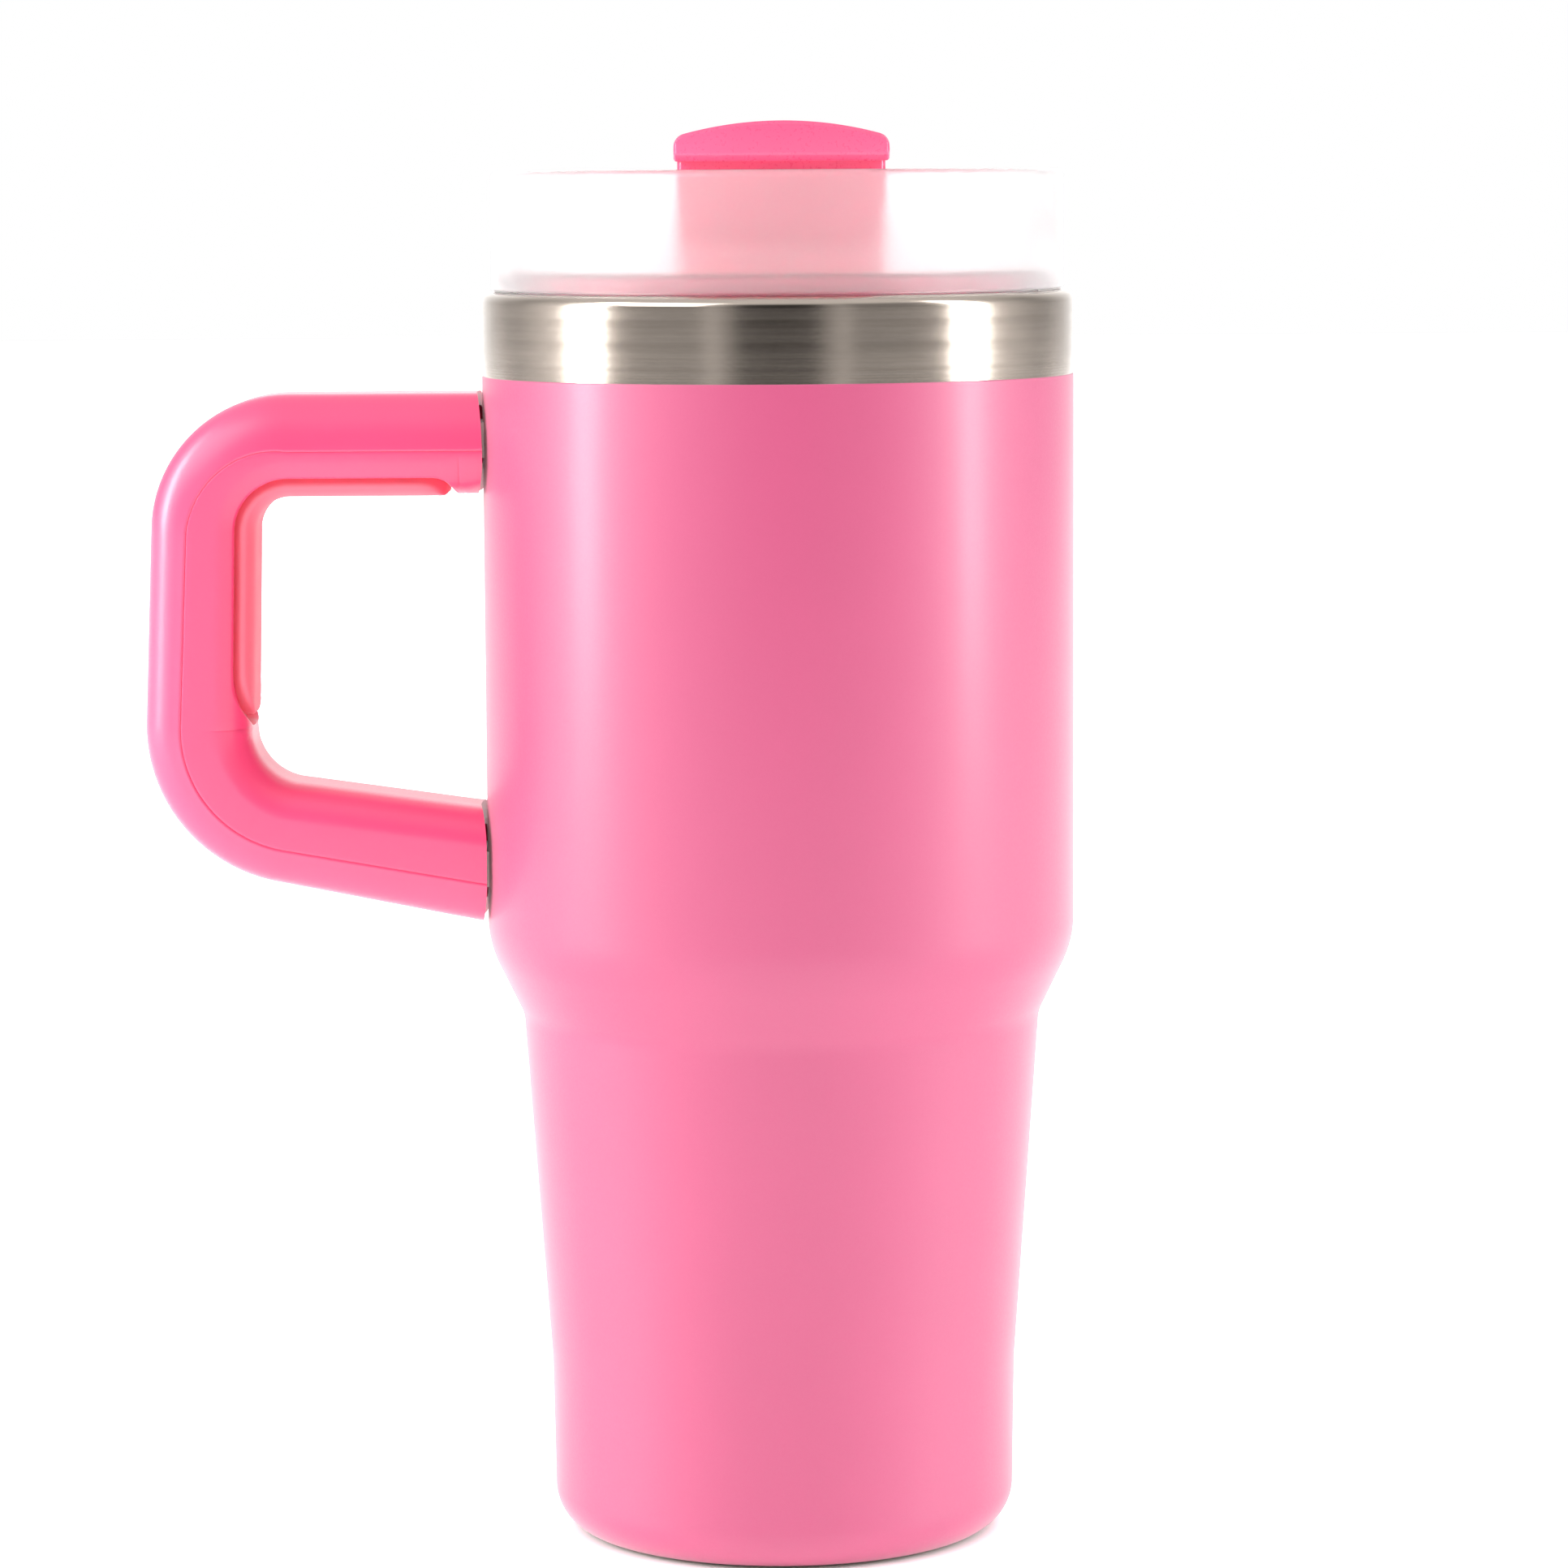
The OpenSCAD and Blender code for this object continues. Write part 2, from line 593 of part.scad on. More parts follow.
// thumb tab: a post that leans out to the collar, and a lip that reaches over the collar's top
module tab() {
  reach = tab_lip_r + 5;
  intersection() {
    translate([-tab_w / 2 + 0.5, -reach, cover_top - 1])
      cube([tab_w - 1, reach - tab_back, tab_lip_z - cover_top + 2]);
    rotate_extrude() polygon([
      [0, cover_z], [tab_knee_r, cover_z], [tab_knee_r, tab_knee_z], [tab_r, tab_front_z],
      [tab_r, tab_top], [0, tab_top]]);
  }
  intersection() {
    translate([-tab_w / 2, -reach, tab_lip_z]) cube([tab_w, reach - tab_back, tab_h]);
    rotate_extrude() polygon([
      [0, tab_lip_z - 1], [tab_lip_r - 1.6, tab_lip_z - 1], [tab_lip_r, tab_lip_z + 0.6],
      [tab_lip_r, tab_top + 1], [0, tab_top + 1]]);
    translate([0, 0, tab_top - arch_r]) rotate([90, 0, 0]) cylinder(r = arch_r, h = 60);
  }
}

module pivot_washer() {
  color("silver") difference() {
    translate([0, 0, hub_z - washer_t]) cylinder(r = 9, h = washer_t);
    translate([0, 0, hub_z - 2 * washer_t]) cylinder(r = pivot_shank_r + 0.1, h = 3 * washer_t);
  }
}

module pivot_screw() {
  head_z = hub_z - washer_t;
  color("gray") {
    translate([0, 0, head_z - 1.8]) cylinder(r = 4.2, h = 1.8);
    translate([0, 0, head_z]) cylinder(r = pivot_shank_r, h = washer_t + 4);
  }
}

outer_shell();
powder_coat();
inner_liner();
outer_base();
base_disc();
getter();
vacuum_seal();
upper_handle_bracket();
lower_handle_bracket();
handle_outer_shell();
handle_inner_shell();
grip_inlay();
handle_screws();
screw_plug();
lid_gasket();
lid_body();
slot_seal();
straw_seal();
hub_seal();
rotary_cover();
pivot_washer();
pivot_screw();
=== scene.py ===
"""Insulated tumbler with a side handle, a threaded lid and a rotary drinking cover.

The body's axis is Z, it stands on z = 0, the handle is towards -X and the front towards -Y.
Lengths in the shape code are in millimetres; meshes are made in metres.
"""

import math

import bmesh
import bpy
from mathutils import Matrix, Vector


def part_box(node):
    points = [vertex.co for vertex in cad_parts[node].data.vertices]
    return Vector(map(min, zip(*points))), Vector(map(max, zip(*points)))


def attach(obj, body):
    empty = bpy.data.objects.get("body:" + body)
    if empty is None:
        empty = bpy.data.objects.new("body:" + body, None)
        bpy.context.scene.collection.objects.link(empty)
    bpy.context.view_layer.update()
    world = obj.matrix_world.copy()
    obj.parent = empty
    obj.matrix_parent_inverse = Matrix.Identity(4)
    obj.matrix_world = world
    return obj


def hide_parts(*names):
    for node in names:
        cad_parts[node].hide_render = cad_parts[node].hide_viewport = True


bl_info = {
    "name": "Insulated Tumbler",
    "version": (1, 0, 0),
    "blender": (4, 5, 0),
    "location": "View3D > Sidebar > Tumbler",
    "description": "Builds a coated steel tumbler with its handle and drinking lid",
    "category": "Add Mesh",
}

MM = 0.001
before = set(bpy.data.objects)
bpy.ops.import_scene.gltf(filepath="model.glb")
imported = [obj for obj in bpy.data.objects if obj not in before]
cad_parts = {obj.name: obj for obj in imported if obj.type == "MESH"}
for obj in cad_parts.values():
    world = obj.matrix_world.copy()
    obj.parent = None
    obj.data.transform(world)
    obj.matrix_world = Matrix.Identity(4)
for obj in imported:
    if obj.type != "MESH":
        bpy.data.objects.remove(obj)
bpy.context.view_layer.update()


# ---- sizes and colours ----


def length(name, description, mm, low, high):
    """A length property, kept in metres."""
    return bpy.props.FloatProperty(
        name=name, description=description, default=mm * MM, min=low * MM, max=high * MM,
        unit="LENGTH", subtype="DISTANCE", precision=5)


def colour(name, description, rgb):
    """A linear colour property."""
    return bpy.props.FloatVectorProperty(
        name=name, description=description, default=rgb, min=0, max=1, size=3, subtype="COLOR")


def share(name, description, value):
    """A share from 0 to 1."""
    return bpy.props.FloatProperty(
        name=name, description=description, default=value, min=0, max=1, subtype="FACTOR")


class TumblerBodySizes(bpy.types.PropertyGroup):
    """Sizes of the steel vessel and its coating."""

    body_r: length("Body radius", "Radius of the upper cylinder, over the coating", 42, 41.5, 42.5)
    rim_z: length("Rim height", "Height of the steel rim above the resting face", 178, 174, 182)
    band_h: length("Steel band", "Height of the bare steel band below the rim", 11.8, 10, 13)
    coat_t: length("Coating", "Thickness of the powder coating", 0.2, 0.15, 0.3)
    steel_t: length("Steel wall", "Thickness of each steel wall", 0.8, 0.6, 0.9)
    vacuum_gap: length("Vacuum gap", "Gap between the two walls", 2.8, 2.5, 3)
    mouth_r: length("Mouth radius", "Radius of the drinking mouth", 38.6, 38.4, 38.8)
    floor_z: length("Floor height", "Height of the floor inside", 8.8, 8.5, 11)
    foot_r: length("Foot radius", "Radius just above the rounded foot", 33.1, 32.5, 33.5)
    foot_round: length("Foot rounding", "Radius of the rounding at the foot", 6.3, 5.5, 7)
    knee_r: length("Knee radius", "Radius at the start of the lower cone", 33.4, 33.2, 33.8)
    knee_z: length("Knee height", "Height at which the lower cone starts", 24.5, 20, 30)
    crease_r: length("Crease radius", "Radius where the cone meets the shoulder", 37, 36.6, 37.4)
    shoulder_z: length("Shoulder height", "Height at which the shoulder ends", 88.8, 86, 92)
    shoulder_round: length("Shoulder rounding", "Rounding above the shoulder", 15, 12, 18)
    shoulder_angle: bpy.props.FloatProperty(
        name="Shoulder angle", description="Angle of the shoulder from the vertical",
        default=math.radians(25.9), min=math.radians(24), max=math.radians(28),
        unit="ROTATION", subtype="ANGLE")


class TumblerHandleSizes(bpy.types.PropertyGroup):
    """Sizes of the handle and its soft inlay."""

    width: length("Handle width", "Width of the handle across the grip", 19.5, 18.5, 20.5)
    rounding: length("Section rounding", "Rounding of the handle's section", 5.2, 4.8, 5.5)
    inlay_proud: length("Inlay height", "How far the soft inlay stands proud", 0.3, 0.2, 0.5)
    groove: length("Inlay groove", "Width of the groove beside the inlay", 1.7, 0.8, 1.8)
    arm_gap: length("Arm gap", "Gap between the arms and the body", 0.8, 0.6, 1)


class TumblerLidSizes(bpy.types.PropertyGroup):
    """Sizes of the lid and the rotary cover."""

    collar_r: length("Collar radius", "Outer radius of the collar", 40.5, 40.3, 40.8)
    collar_t: length("Collar wall", "Wall thickness of the collar", 2.4, 2.3, 2.5)
    collar_h: length("Collar height", "Height of the collar's top above the rim", 17, 16, 19)
    skirt_depth: length("Skirt depth", "Depth of the threaded skirt below the rim", 17.5, 17, 19)
    deck_depth: length("Deck depth", "Depth of the deck's upper face below the rim", 1.5, 1, 2)
    deck_t: length("Deck", "Thickness of the deck", 2, 1.9, 2.2)
    thread_lead: length("Thread lead", "Axial advance of the thread in one turn", 12, 11, 14)
    cover_r: length("Cover radius", "Radius of the rotary cover", 34.2, 33.8, 34.3)
    cover_t: length("Cover disc", "Thickness of the cover's disc", 2.4, 2.2, 2.6)
    tab_w: length("Tab width", "Width of the thumb tab", 29.2, 27, 31)
    tab_h: length("Tab height", "Height of the tab's crown above the rim", 23.5, 22, 26)
    tab_arch: length("Tab arch", "Rise of the arch along the tab's crown", 2.1, 1.5, 2.5)
    thread_starts: bpy.props.IntProperty(
        name="Thread starts", description="Number of thread starts", default=3, min=2, max=3)
    closed_turn: bpy.props.FloatProperty(
        name="Closed turn", description="Turn of the cover about the axis when it is closed",
        default=math.radians(1.1), min=0, max=math.radians(3), unit="ROTATION", subtype="ANGLE")


class TumblerColours(bpy.types.PropertyGroup):
    """Colours and finishes."""

    coat: colour("Powder coat", "Colour of the body's coating", (0.52, 0.046, 0.16))
    coat_rough: share("Coat roughness", "Roughness of the powder coating", 0.52)
    handle: colour("Handle", "Colour of the handle's plastic", (0.98, 0.06, 0.2))
    inlay: colour("Inlay", "Colour of the soft inlay", (0.98, 0.2, 0.28))
    cover: colour("Cover", "Colour of the rotary cover", (0.98, 0.085, 0.215))
    collar: colour("Lid", "Tint of the frosted lid", (0.97, 0.965, 0.965))
    steel: colour("Steel", "Colour of the brushed steel", (0.61, 0.525, 0.455))
    silicone: colour("Silicone", "Colour of the seals", (0.80, 0.79, 0.77))


class TumblerSettings(bpy.types.PropertyGroup):
    """All the settings of the tumbler."""

    body: bpy.props.PointerProperty(
        type=TumblerBodySizes, name="Body", description="Sizes of the vessel")
    handle: bpy.props.PointerProperty(
        type=TumblerHandleSizes, name="Handle", description="Sizes of the handle")
    lid: bpy.props.PointerProperty(
        type=TumblerLidSizes, name="Lid", description="Sizes of the lid and cover")
    colours: bpy.props.PointerProperty(
        type=TumblerColours, name="Colours", description="Colours and finishes")


class InMillimetres:
    """Reads a group of lengths in millimetres and angles in degrees."""

    def __init__(self, group):
        self.group = group

    def __getattr__(self, name):
        value = getattr(self.group, name)
        kind = self.group.bl_rna.properties[name]
        if kind.unit == "LENGTH":
            return value / MM
        return math.degrees(value) if kind.unit == "ROTATION" else value


def settings(context):
    return context.scene.tumbler


# ---- outlines, in millimetres ----


def polar(radius, degrees):
    """The point at an angle in degrees."""
    a = math.radians(degrees)
    return radius * math.cos(a), radius * math.sin(a)


def arc(cx, cy, radius, start, end, steps):
    """Points of an arc from one angle to another, in degrees."""
    points = []
    for i in range(steps + 1):
        x, y = polar(radius, start + (end - start) * i / steps)
        points.append((cx + x, cy + y))
    return points


def filleted(corners, steps=5):
    """A closed outline whose corners (x, y, radius) are rounded, always with the same point count."""
    points = []
    n = len(corners)
    for i, (x, y, *rest) in enumerate(corners):
        radius = rest[0] if rest else 0
        here = Vector((x, y))
        if radius <= 0:
            points.append((x, y))
            continue
        back = Vector(corners[i - 1][:2]) - here
        ahead = Vector(corners[(i + 1) % n][:2]) - here
        half = back.angle(ahead) / 2
        back.normalize()
        ahead.normalize()
        reach = radius / math.tan(half)
        centre = here + (back + ahead).normalized() * radius / math.sin(half)
        a, b = here + back * reach - centre, here + ahead * reach - centre
        turn = a.angle_signed(b)
        for k in range(steps + 1):
            spoke = a.copy()
            spoke.rotate(Matrix.Rotation(-turn * k / steps, 2))
            points.append(tuple(centre + spoke))
    return points


def offset_outline(points, distance):
    """A closed outline that turns left, moved outwards along its normals."""
    moved = []
    n = len(points)
    for i, (x, y) in enumerate(points):
        before, after = points[i - 1], points[(i + 1) % n]
        along = Vector((after[0] - before[0], after[1] - before[1])).normalized()
        moved.append((x + along.y * distance, y - along.x * distance))
    return moved


def turned(points, degrees):
    """The points, turned about the origin."""
    c, s = polar(1, degrees)
    return [(x * c - y * s, x * s + y * c) for x, y in points]


# ---- meshes ----


def sharpen(obj, degrees):
    """Smooth shading, with edges sharper than the angle kept sharp."""
    obj.data.polygons.foreach_set("use_smooth", [True] * len(obj.data.polygons))
    obj.data.set_sharp_from_angle(angle=math.radians(degrees))


def mesh_object(name, points, faces, sharp=38):
    """A closed mesh from points in millimetres, with its faces turned outwards."""
    mesh = bpy.data.meshes.new(name)
    mesh.from_pydata([(x * MM, y * MM, z * MM) for x, y, z in points], [], faces)
    obj = bpy.data.objects.new(name, mesh)
    bpy.context.scene.collection.objects.link(obj)
    tidy_mesh(obj)
    sharpen(obj, sharp)
    return obj


def tidy_mesh(obj):
    """Merges doubled points and turns the faces outwards."""
    bm = bmesh.new()
    bm.from_mesh(obj.data)
    bmesh.ops.remove_doubles(bm, verts=bm.verts, dist=2e-7)
    bmesh.ops.dissolve_degenerate(bm, dist=1e-7, edges=bm.edges)
    bmesh.ops.recalc_face_normals(bm, faces=bm.faces)
    if bm.calc_volume(signed=True) < 0:
        bmesh.ops.reverse_faces(bm, faces=bm.faces)
    bm.to_mesh(obj.data)
    bm.free()
    obj.data.update()


def revolved(name, outline, segments=180, sharp=38):
    """A solid of revolution from a closed (radius, height) outline."""
    points, rings = [], []
    for r, z in outline:
        if r < 1e-6:
            rings.append([len(points)] * segments)
            points.append((0, 0, z))
            continue
        rings.append(list(range(len(points), len(points) + segments)))
        for k in range(segments):
            x, y = polar(r, 360 * k / segments)
            points.append((x, y, z))
    faces = []
    for i, ring in enumerate(rings):
        after = rings[(i + 1) % len(rings)]
        if ring[0] == ring[1] and after[0] == after[1]:
            continue
        for k in range(segments):
            m = (k + 1) % segments
            corners = [ring[k], ring[m], after[m], after[k]]
            faces.append([c for j, c in enumerate(corners) if c != corners[j - 1]])
    return mesh_object(name, points, faces, sharp)


def lofted(name, rings, sharp=38):
    """A solid through closed rings of equal count, closed by its end faces."""
    n = len(rings[0])
    points = [p for ring in rings for p in ring]
    faces = [list(range(n)), list(range((len(rings) - 1) * n, len(rings) * n))]
    for i in range(len(rings) - 1):
        for k in range(n):
            a, b = n * i + k, n * i + (k + 1) % n
            faces.append([a, b, b + n, a + n])
    return mesh_object(name, points, faces, sharp)


def double_skin(name, outer_lines, inner_lines, sharp=38):
    """A shell between two open sections of equal count at each station, closed along its edges."""
    m = len(outer_lines[0])
    stride = 2 * m
    points = []
    for out, inside in zip(outer_lines, inner_lines):
        points += list(out) + list(inside)
    faces = []
    last = len(outer_lines) - 1
    for i in range(last):
        base, up = i * stride, (i + 1) * stride
        for k in range(m - 1):
            faces.append([base + k, base + k + 1, up + k + 1, up + k])
            faces.append([base + m + k + 1, base + m + k, up + m + k, up + m + k + 1])
        for k in (0, m - 1):
            faces.append([base + k, up + k, up + m + k, base + m + k])
    for base in (0, last * stride):
        for k in range(m - 1):
            faces.append([base + k, base + k + 1, base + m + k + 1, base + m + k])
    return mesh_object(name, points, faces, sharp)


def combine(obj, other, operation):
    """Boolean of two closed meshes; the second one is used up."""
    modifier = obj.modifiers.new("cut", "BOOLEAN")
    modifier.operation = operation
    modifier.solver = "MANIFOLD"
    modifier.object = other
    bpy.context.view_layer.update()
    result = bpy.data.meshes.new_from_object(
        obj.evaluated_get(bpy.context.evaluated_depsgraph_get()))
    obj.modifiers.clear()
    old, obj.data = obj.data, result
    obj.data.name = obj.name
    bpy.data.meshes.remove(old)
    bpy.data.objects.remove(other)
    if not obj.data.polygons:
        raise RuntimeError(f"{obj.name}: nothing was left by a {operation.lower()}")
    return obj


def peg(name, centre, direction, radius, reach, segments=48):
    """A round cutter from a point along a direction."""
    axis = Vector(direction).normalized()
    turn = Vector((0, 0, 1)).rotation_difference(axis)
    rings = []
    for h in (0, reach):
        ring = []
        for k in range(segments):
            x, y = polar(radius, 360 * k / segments)
            ring.append(tuple(Vector(centre) + turn @ Vector((x, y, h))))
        rings.append(ring)
    return lofted(name, rings)


def finish_piece(obj, body, nodes, material):
    """Puts a finished piece on its body, in place of its CAD nodes, with its material."""
    obj.data.materials.clear()
    obj.data.materials.append(material)
    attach(obj, body)
    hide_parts(*nodes)


def finish_nodes(nodes, material):
    """Gives carried-over nodes their material."""
    for name in nodes:
        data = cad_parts[name].data
        data.materials.clear()
        data.materials.append(material)


# ---- materials ----


class Wiring:
    """Adds nodes to a node tree and links them."""

    def __init__(self, tree):
        self.tree = tree

    def node(self, kind, **values):
        made = self.tree.nodes.new(kind)
        for key, value in values.items():
            setattr(made, key, value)
        return made

    def link(self, source, target):
        self.tree.links.new(source, target)

    def feed(self, socket, value):
        """Links a socket to another one, or gives it a number."""
        if isinstance(value, bpy.types.NodeSocket):
            self.link(value, socket)
        else:
            socket.default_value = value

    def maths(self, operation, *values):
        made = self.node("ShaderNodeMath", operation=operation)
        for socket, value in zip(made.inputs, values):
            self.feed(socket, value)
        return made.outputs[0]

    def mapped(self, value, start, end, low, high, kind="LINEAR"):
        """A value's range from start to end, turned into one from low to high."""
        made = self.node("ShaderNodeMapRange", interpolation_type=kind)
        for name, number in (("Value", value), ("From Min", start), ("From Max", end),
                             ("To Min", low), ("To Max", high)):
            self.feed(made.inputs[name], number)
        return made.outputs[0]


class Finish(Wiring):
    """A material under construction: its shader and the nodes that feed it."""

    def __init__(self, name, base, roughness, **sockets):
        self.material = bpy.data.materials.new(name)
        self.material.use_nodes = True
        super().__init__(self.material.node_tree)
        self.shader = self.tree.nodes["Principled BSDF"]
        self.shader.inputs["Base Color"].default_value = (*base, 1)
        self.shader.inputs["Roughness"].default_value = roughness
        for socket, value in sockets.items():
            self.shader.inputs[socket.replace("_", " ")].default_value = value
        self.base = tuple(base)
        self.roughness = roughness
        self.coords = self.node("ShaderNodeTexCoord").outputs["Object"]
        self.bump = None

    def scaled(self, stretch, source=None):
        """Object coordinates, stretched by three factors."""
        mapping = self.node("ShaderNodeMapping")
        mapping.inputs["Scale"].default_value = stretch
        self.link(source or self.coords, mapping.inputs["Vector"])
        return mapping.outputs["Vector"]

    def around_axis(self):
        """Coordinates (distance from the axis, 0, height), constant along a circle round it."""
        apart = self.node("ShaderNodeSeparateXYZ")
        self.link(self.coords, apart.inputs[0])
        x, y, z = apart.outputs
        squares = self.maths("ADD", self.maths("MULTIPLY", x, x), self.maths("MULTIPLY", y, y))
        joined = self.node("ShaderNodeCombineXYZ")
        self.link(self.maths("SQRT", squares), joined.inputs[0])
        self.link(z, joined.inputs[2])
        return joined.outputs[0]

    def noise(self, vector, scale=1.0, detail=3.0, rough=0.55):
        made = self.node("ShaderNodeTexNoise")
        self.link(vector, made.inputs["Vector"])
        for name, value in (("Scale", scale), ("Detail", detail), ("Roughness", rough)):
            made.inputs[name].default_value = value
        return made.outputs["Fac"]

    def relief(self, height, strength, depth):
        """Adds a bump layer, depth in millimetres, on top of those before."""
        made = self.node("ShaderNodeBump")
        made.inputs["Strength"].default_value = strength
        made.inputs["Distance"].default_value = depth * MM
        self.link(height, made.inputs["Height"])
        if self.bump:
            self.link(self.bump, made.inputs["Normal"])
        self.bump = made.outputs["Normal"]
        self.link(self.bump, self.shader.inputs["Normal"])

    def uneven_gloss(self, value, spread_by):
        """Lets the roughness vary about its value."""
        varied = self.mapped(
            value, 0.3, 0.7, self.roughness - spread_by, self.roughness + spread_by)
        self.link(varied, self.shader.inputs["Roughness"])

    def uneven_colour(self, value, darker):
        """Lets the colour vary between a darker shade and its own."""
        mixed = self.node("ShaderNodeMix", data_type="RGBA")
        colours = [socket for socket in mixed.inputs if socket.type == "RGBA"]
        colours[0].default_value = (*[c * darker for c in self.base], 1)
        colours[1].default_value = (*self.base, 1)
        self.link(self.mapped(value, 0.3, 0.7, 0, 1), mixed.inputs[0])
        self.link(mixed.outputs[2], self.shader.inputs["Base Color"])


def powder_coat_finish(colours):
    """Satin baked powder: a very fine orange-peel grain with a soft sheen."""
    made = Finish("powder_coat_finish", colours.coat, colours.coat_rough,
                  Specular_IOR_Level=1.0, Sheen_Weight=0.48, Sheen_Roughness=0.35,
                  Coat_Weight=0.4, Coat_Roughness=0.27)
    fine = made.noise(made.coords, 2600, 2)
    peel = made.noise(made.coords, 420, 3)
    cloud = made.noise(made.coords, 38, 2)
    made.relief(peel, 0.10, 0.05)
    made.relief(fine, 0.16, 0.03)
    made.uneven_gloss(fine, 0.035)
    made.uneven_colour(cloud, 0.965)
    return made.material


def turned_steel_finish(name, base, roughness, grain=1.0, anisotropy=0.6):
    """Steel brushed or turned round the body's axis: fine lines along the circles."""
    made = Finish(name, base, roughness, Metallic=1, Anisotropic=anisotropy)
    around = made.around_axis()
    lines = made.noise(made.scaled((5200, 1, 5200), around), 1, 4, 0.65)
    broad = made.noise(made.scaled((900, 1, 900), around), 1, 2)
    speck = made.noise(made.coords, 1900, 2)
    smudge = made.noise(made.scaled((60, 60, 240)), 1, 3)
    made.relief(lines, 0.06 * grain, 0.02)
    made.relief(speck, 0.08 * grain, 0.02)
    made.uneven_gloss(broad, 0.02)
    made.uneven_colour(smudge, 0.88)
    tangent = made.node("ShaderNodeTangent", direction_type="RADIAL", axis="Z")
    made.link(tangent.outputs[0], made.shader.inputs["Tangent"])
    return made.material


def plain_steel_finish(name, base, roughness):
    """Rolled or pressed steel with a directionless fine grain."""
    made = Finish(name, base, roughness, Metallic=1)
    grain = made.noise(made.coords, 2400, 3)
    cloud = made.noise(made.coords, 180, 2)
    made.relief(grain, 0.15, 0.02)
    made.uneven_gloss(cloud, 0.06)
    made.uneven_colour(cloud, 0.86)
    return made.material


def sintered_finish():
    """Dark pressed powder with open pores."""
    made = Finish("getter_finish", (0.13, 0.125, 0.12), 0.7, Metallic=0.8)
    pores = made.node("ShaderNodeTexVoronoi")
    made.link(made.coords, pores.inputs["Vector"])
    pores.inputs["Scale"].default_value = 3200
    made.relief(pores.outputs["Distance"], 0.5, 0.08)
    made.uneven_colour(pores.outputs["Distance"], 0.6)
    return made.material


def solder_finish():
    """A dull bead of solder with cooling ripples."""
    made = Finish("solder_finish", (0.42, 0.42, 0.43), 0.42, Metallic=1)
    ripples = made.noise(made.scaled((2600, 1, 400), made.around_axis()), 1, 2)
    made.relief(ripples, 0.4, 0.05)
    made.uneven_gloss(made.noise(made.coords, 900, 2), 0.12)
    made.uneven_colour(ripples, 0.8)
    return made.material


def moulded_finish(name, base, roughness, spark=0.16, depth=0.04, **sockets):
    """Moulded plastic with a fine eroded texture and faint flow marks."""
    made = Finish(name, base, roughness, **sockets)
    eroded = made.noise(made.coords, 2300, 3, 0.6)
    flow = made.noise(made.scaled((46, 90, 30)), 1, 2)
    made.relief(eroded, spark, depth)
    made.uneven_gloss(eroded, 0.05)
    made.uneven_colour(flow, 0.96)
    return made.material


def elastomer_finish(colours):
    """Matt soft-touch rubber: velvety grain and a faint dusty sheen."""
    made = Finish("soft_inlay_finish", colours.inlay, 0.62, Sheen_Weight=0.18,
                  Sheen_Roughness=0.45)
    grain = made.noise(made.coords, 3000, 3, 0.7)
    rub = made.noise(made.coords, 120, 3)
    made.relief(grain, 0.35, 0.05)
    made.uneven_gloss(rub, 0.06)
    made.uneven_colour(rub, 0.93)
    return made.material


def silicone_finish(name, base, roughness=0.42, clear=0.25):
    """Milky silicone, slightly waxy."""
    made = Finish(name, base, roughness, Transmission_Weight=clear, IOR=1.41)
    waxy = made.noise(made.coords, 700, 3)
    made.relief(waxy, 0.18, 0.04)
    made.uneven_gloss(waxy, 0.08)
    made.uneven_colour(made.noise(made.coords, 90, 2), 0.95)
    return made.material


def frosted_finish(colours):
    """Clear copolyester with a frosted skin."""
    made = Finish("frosted_lid_finish", colours.collar, 0.55,
                  Transmission_Weight=0.86, IOR=1.3, Coat_Weight=0.7, Coat_Roughness=0.1)
    frost = made.noise(made.coords, 1700, 3, 0.6)
    flow = made.noise(made.scaled((30, 30, 14)), 1, 2)
    made.relief(frost, 0.12, 0.05)
    made.uneven_gloss(flow, 0.05)
    made.uneven_colour(flow, 0.985)
    return made.material


# ---- the vessel's shape ----


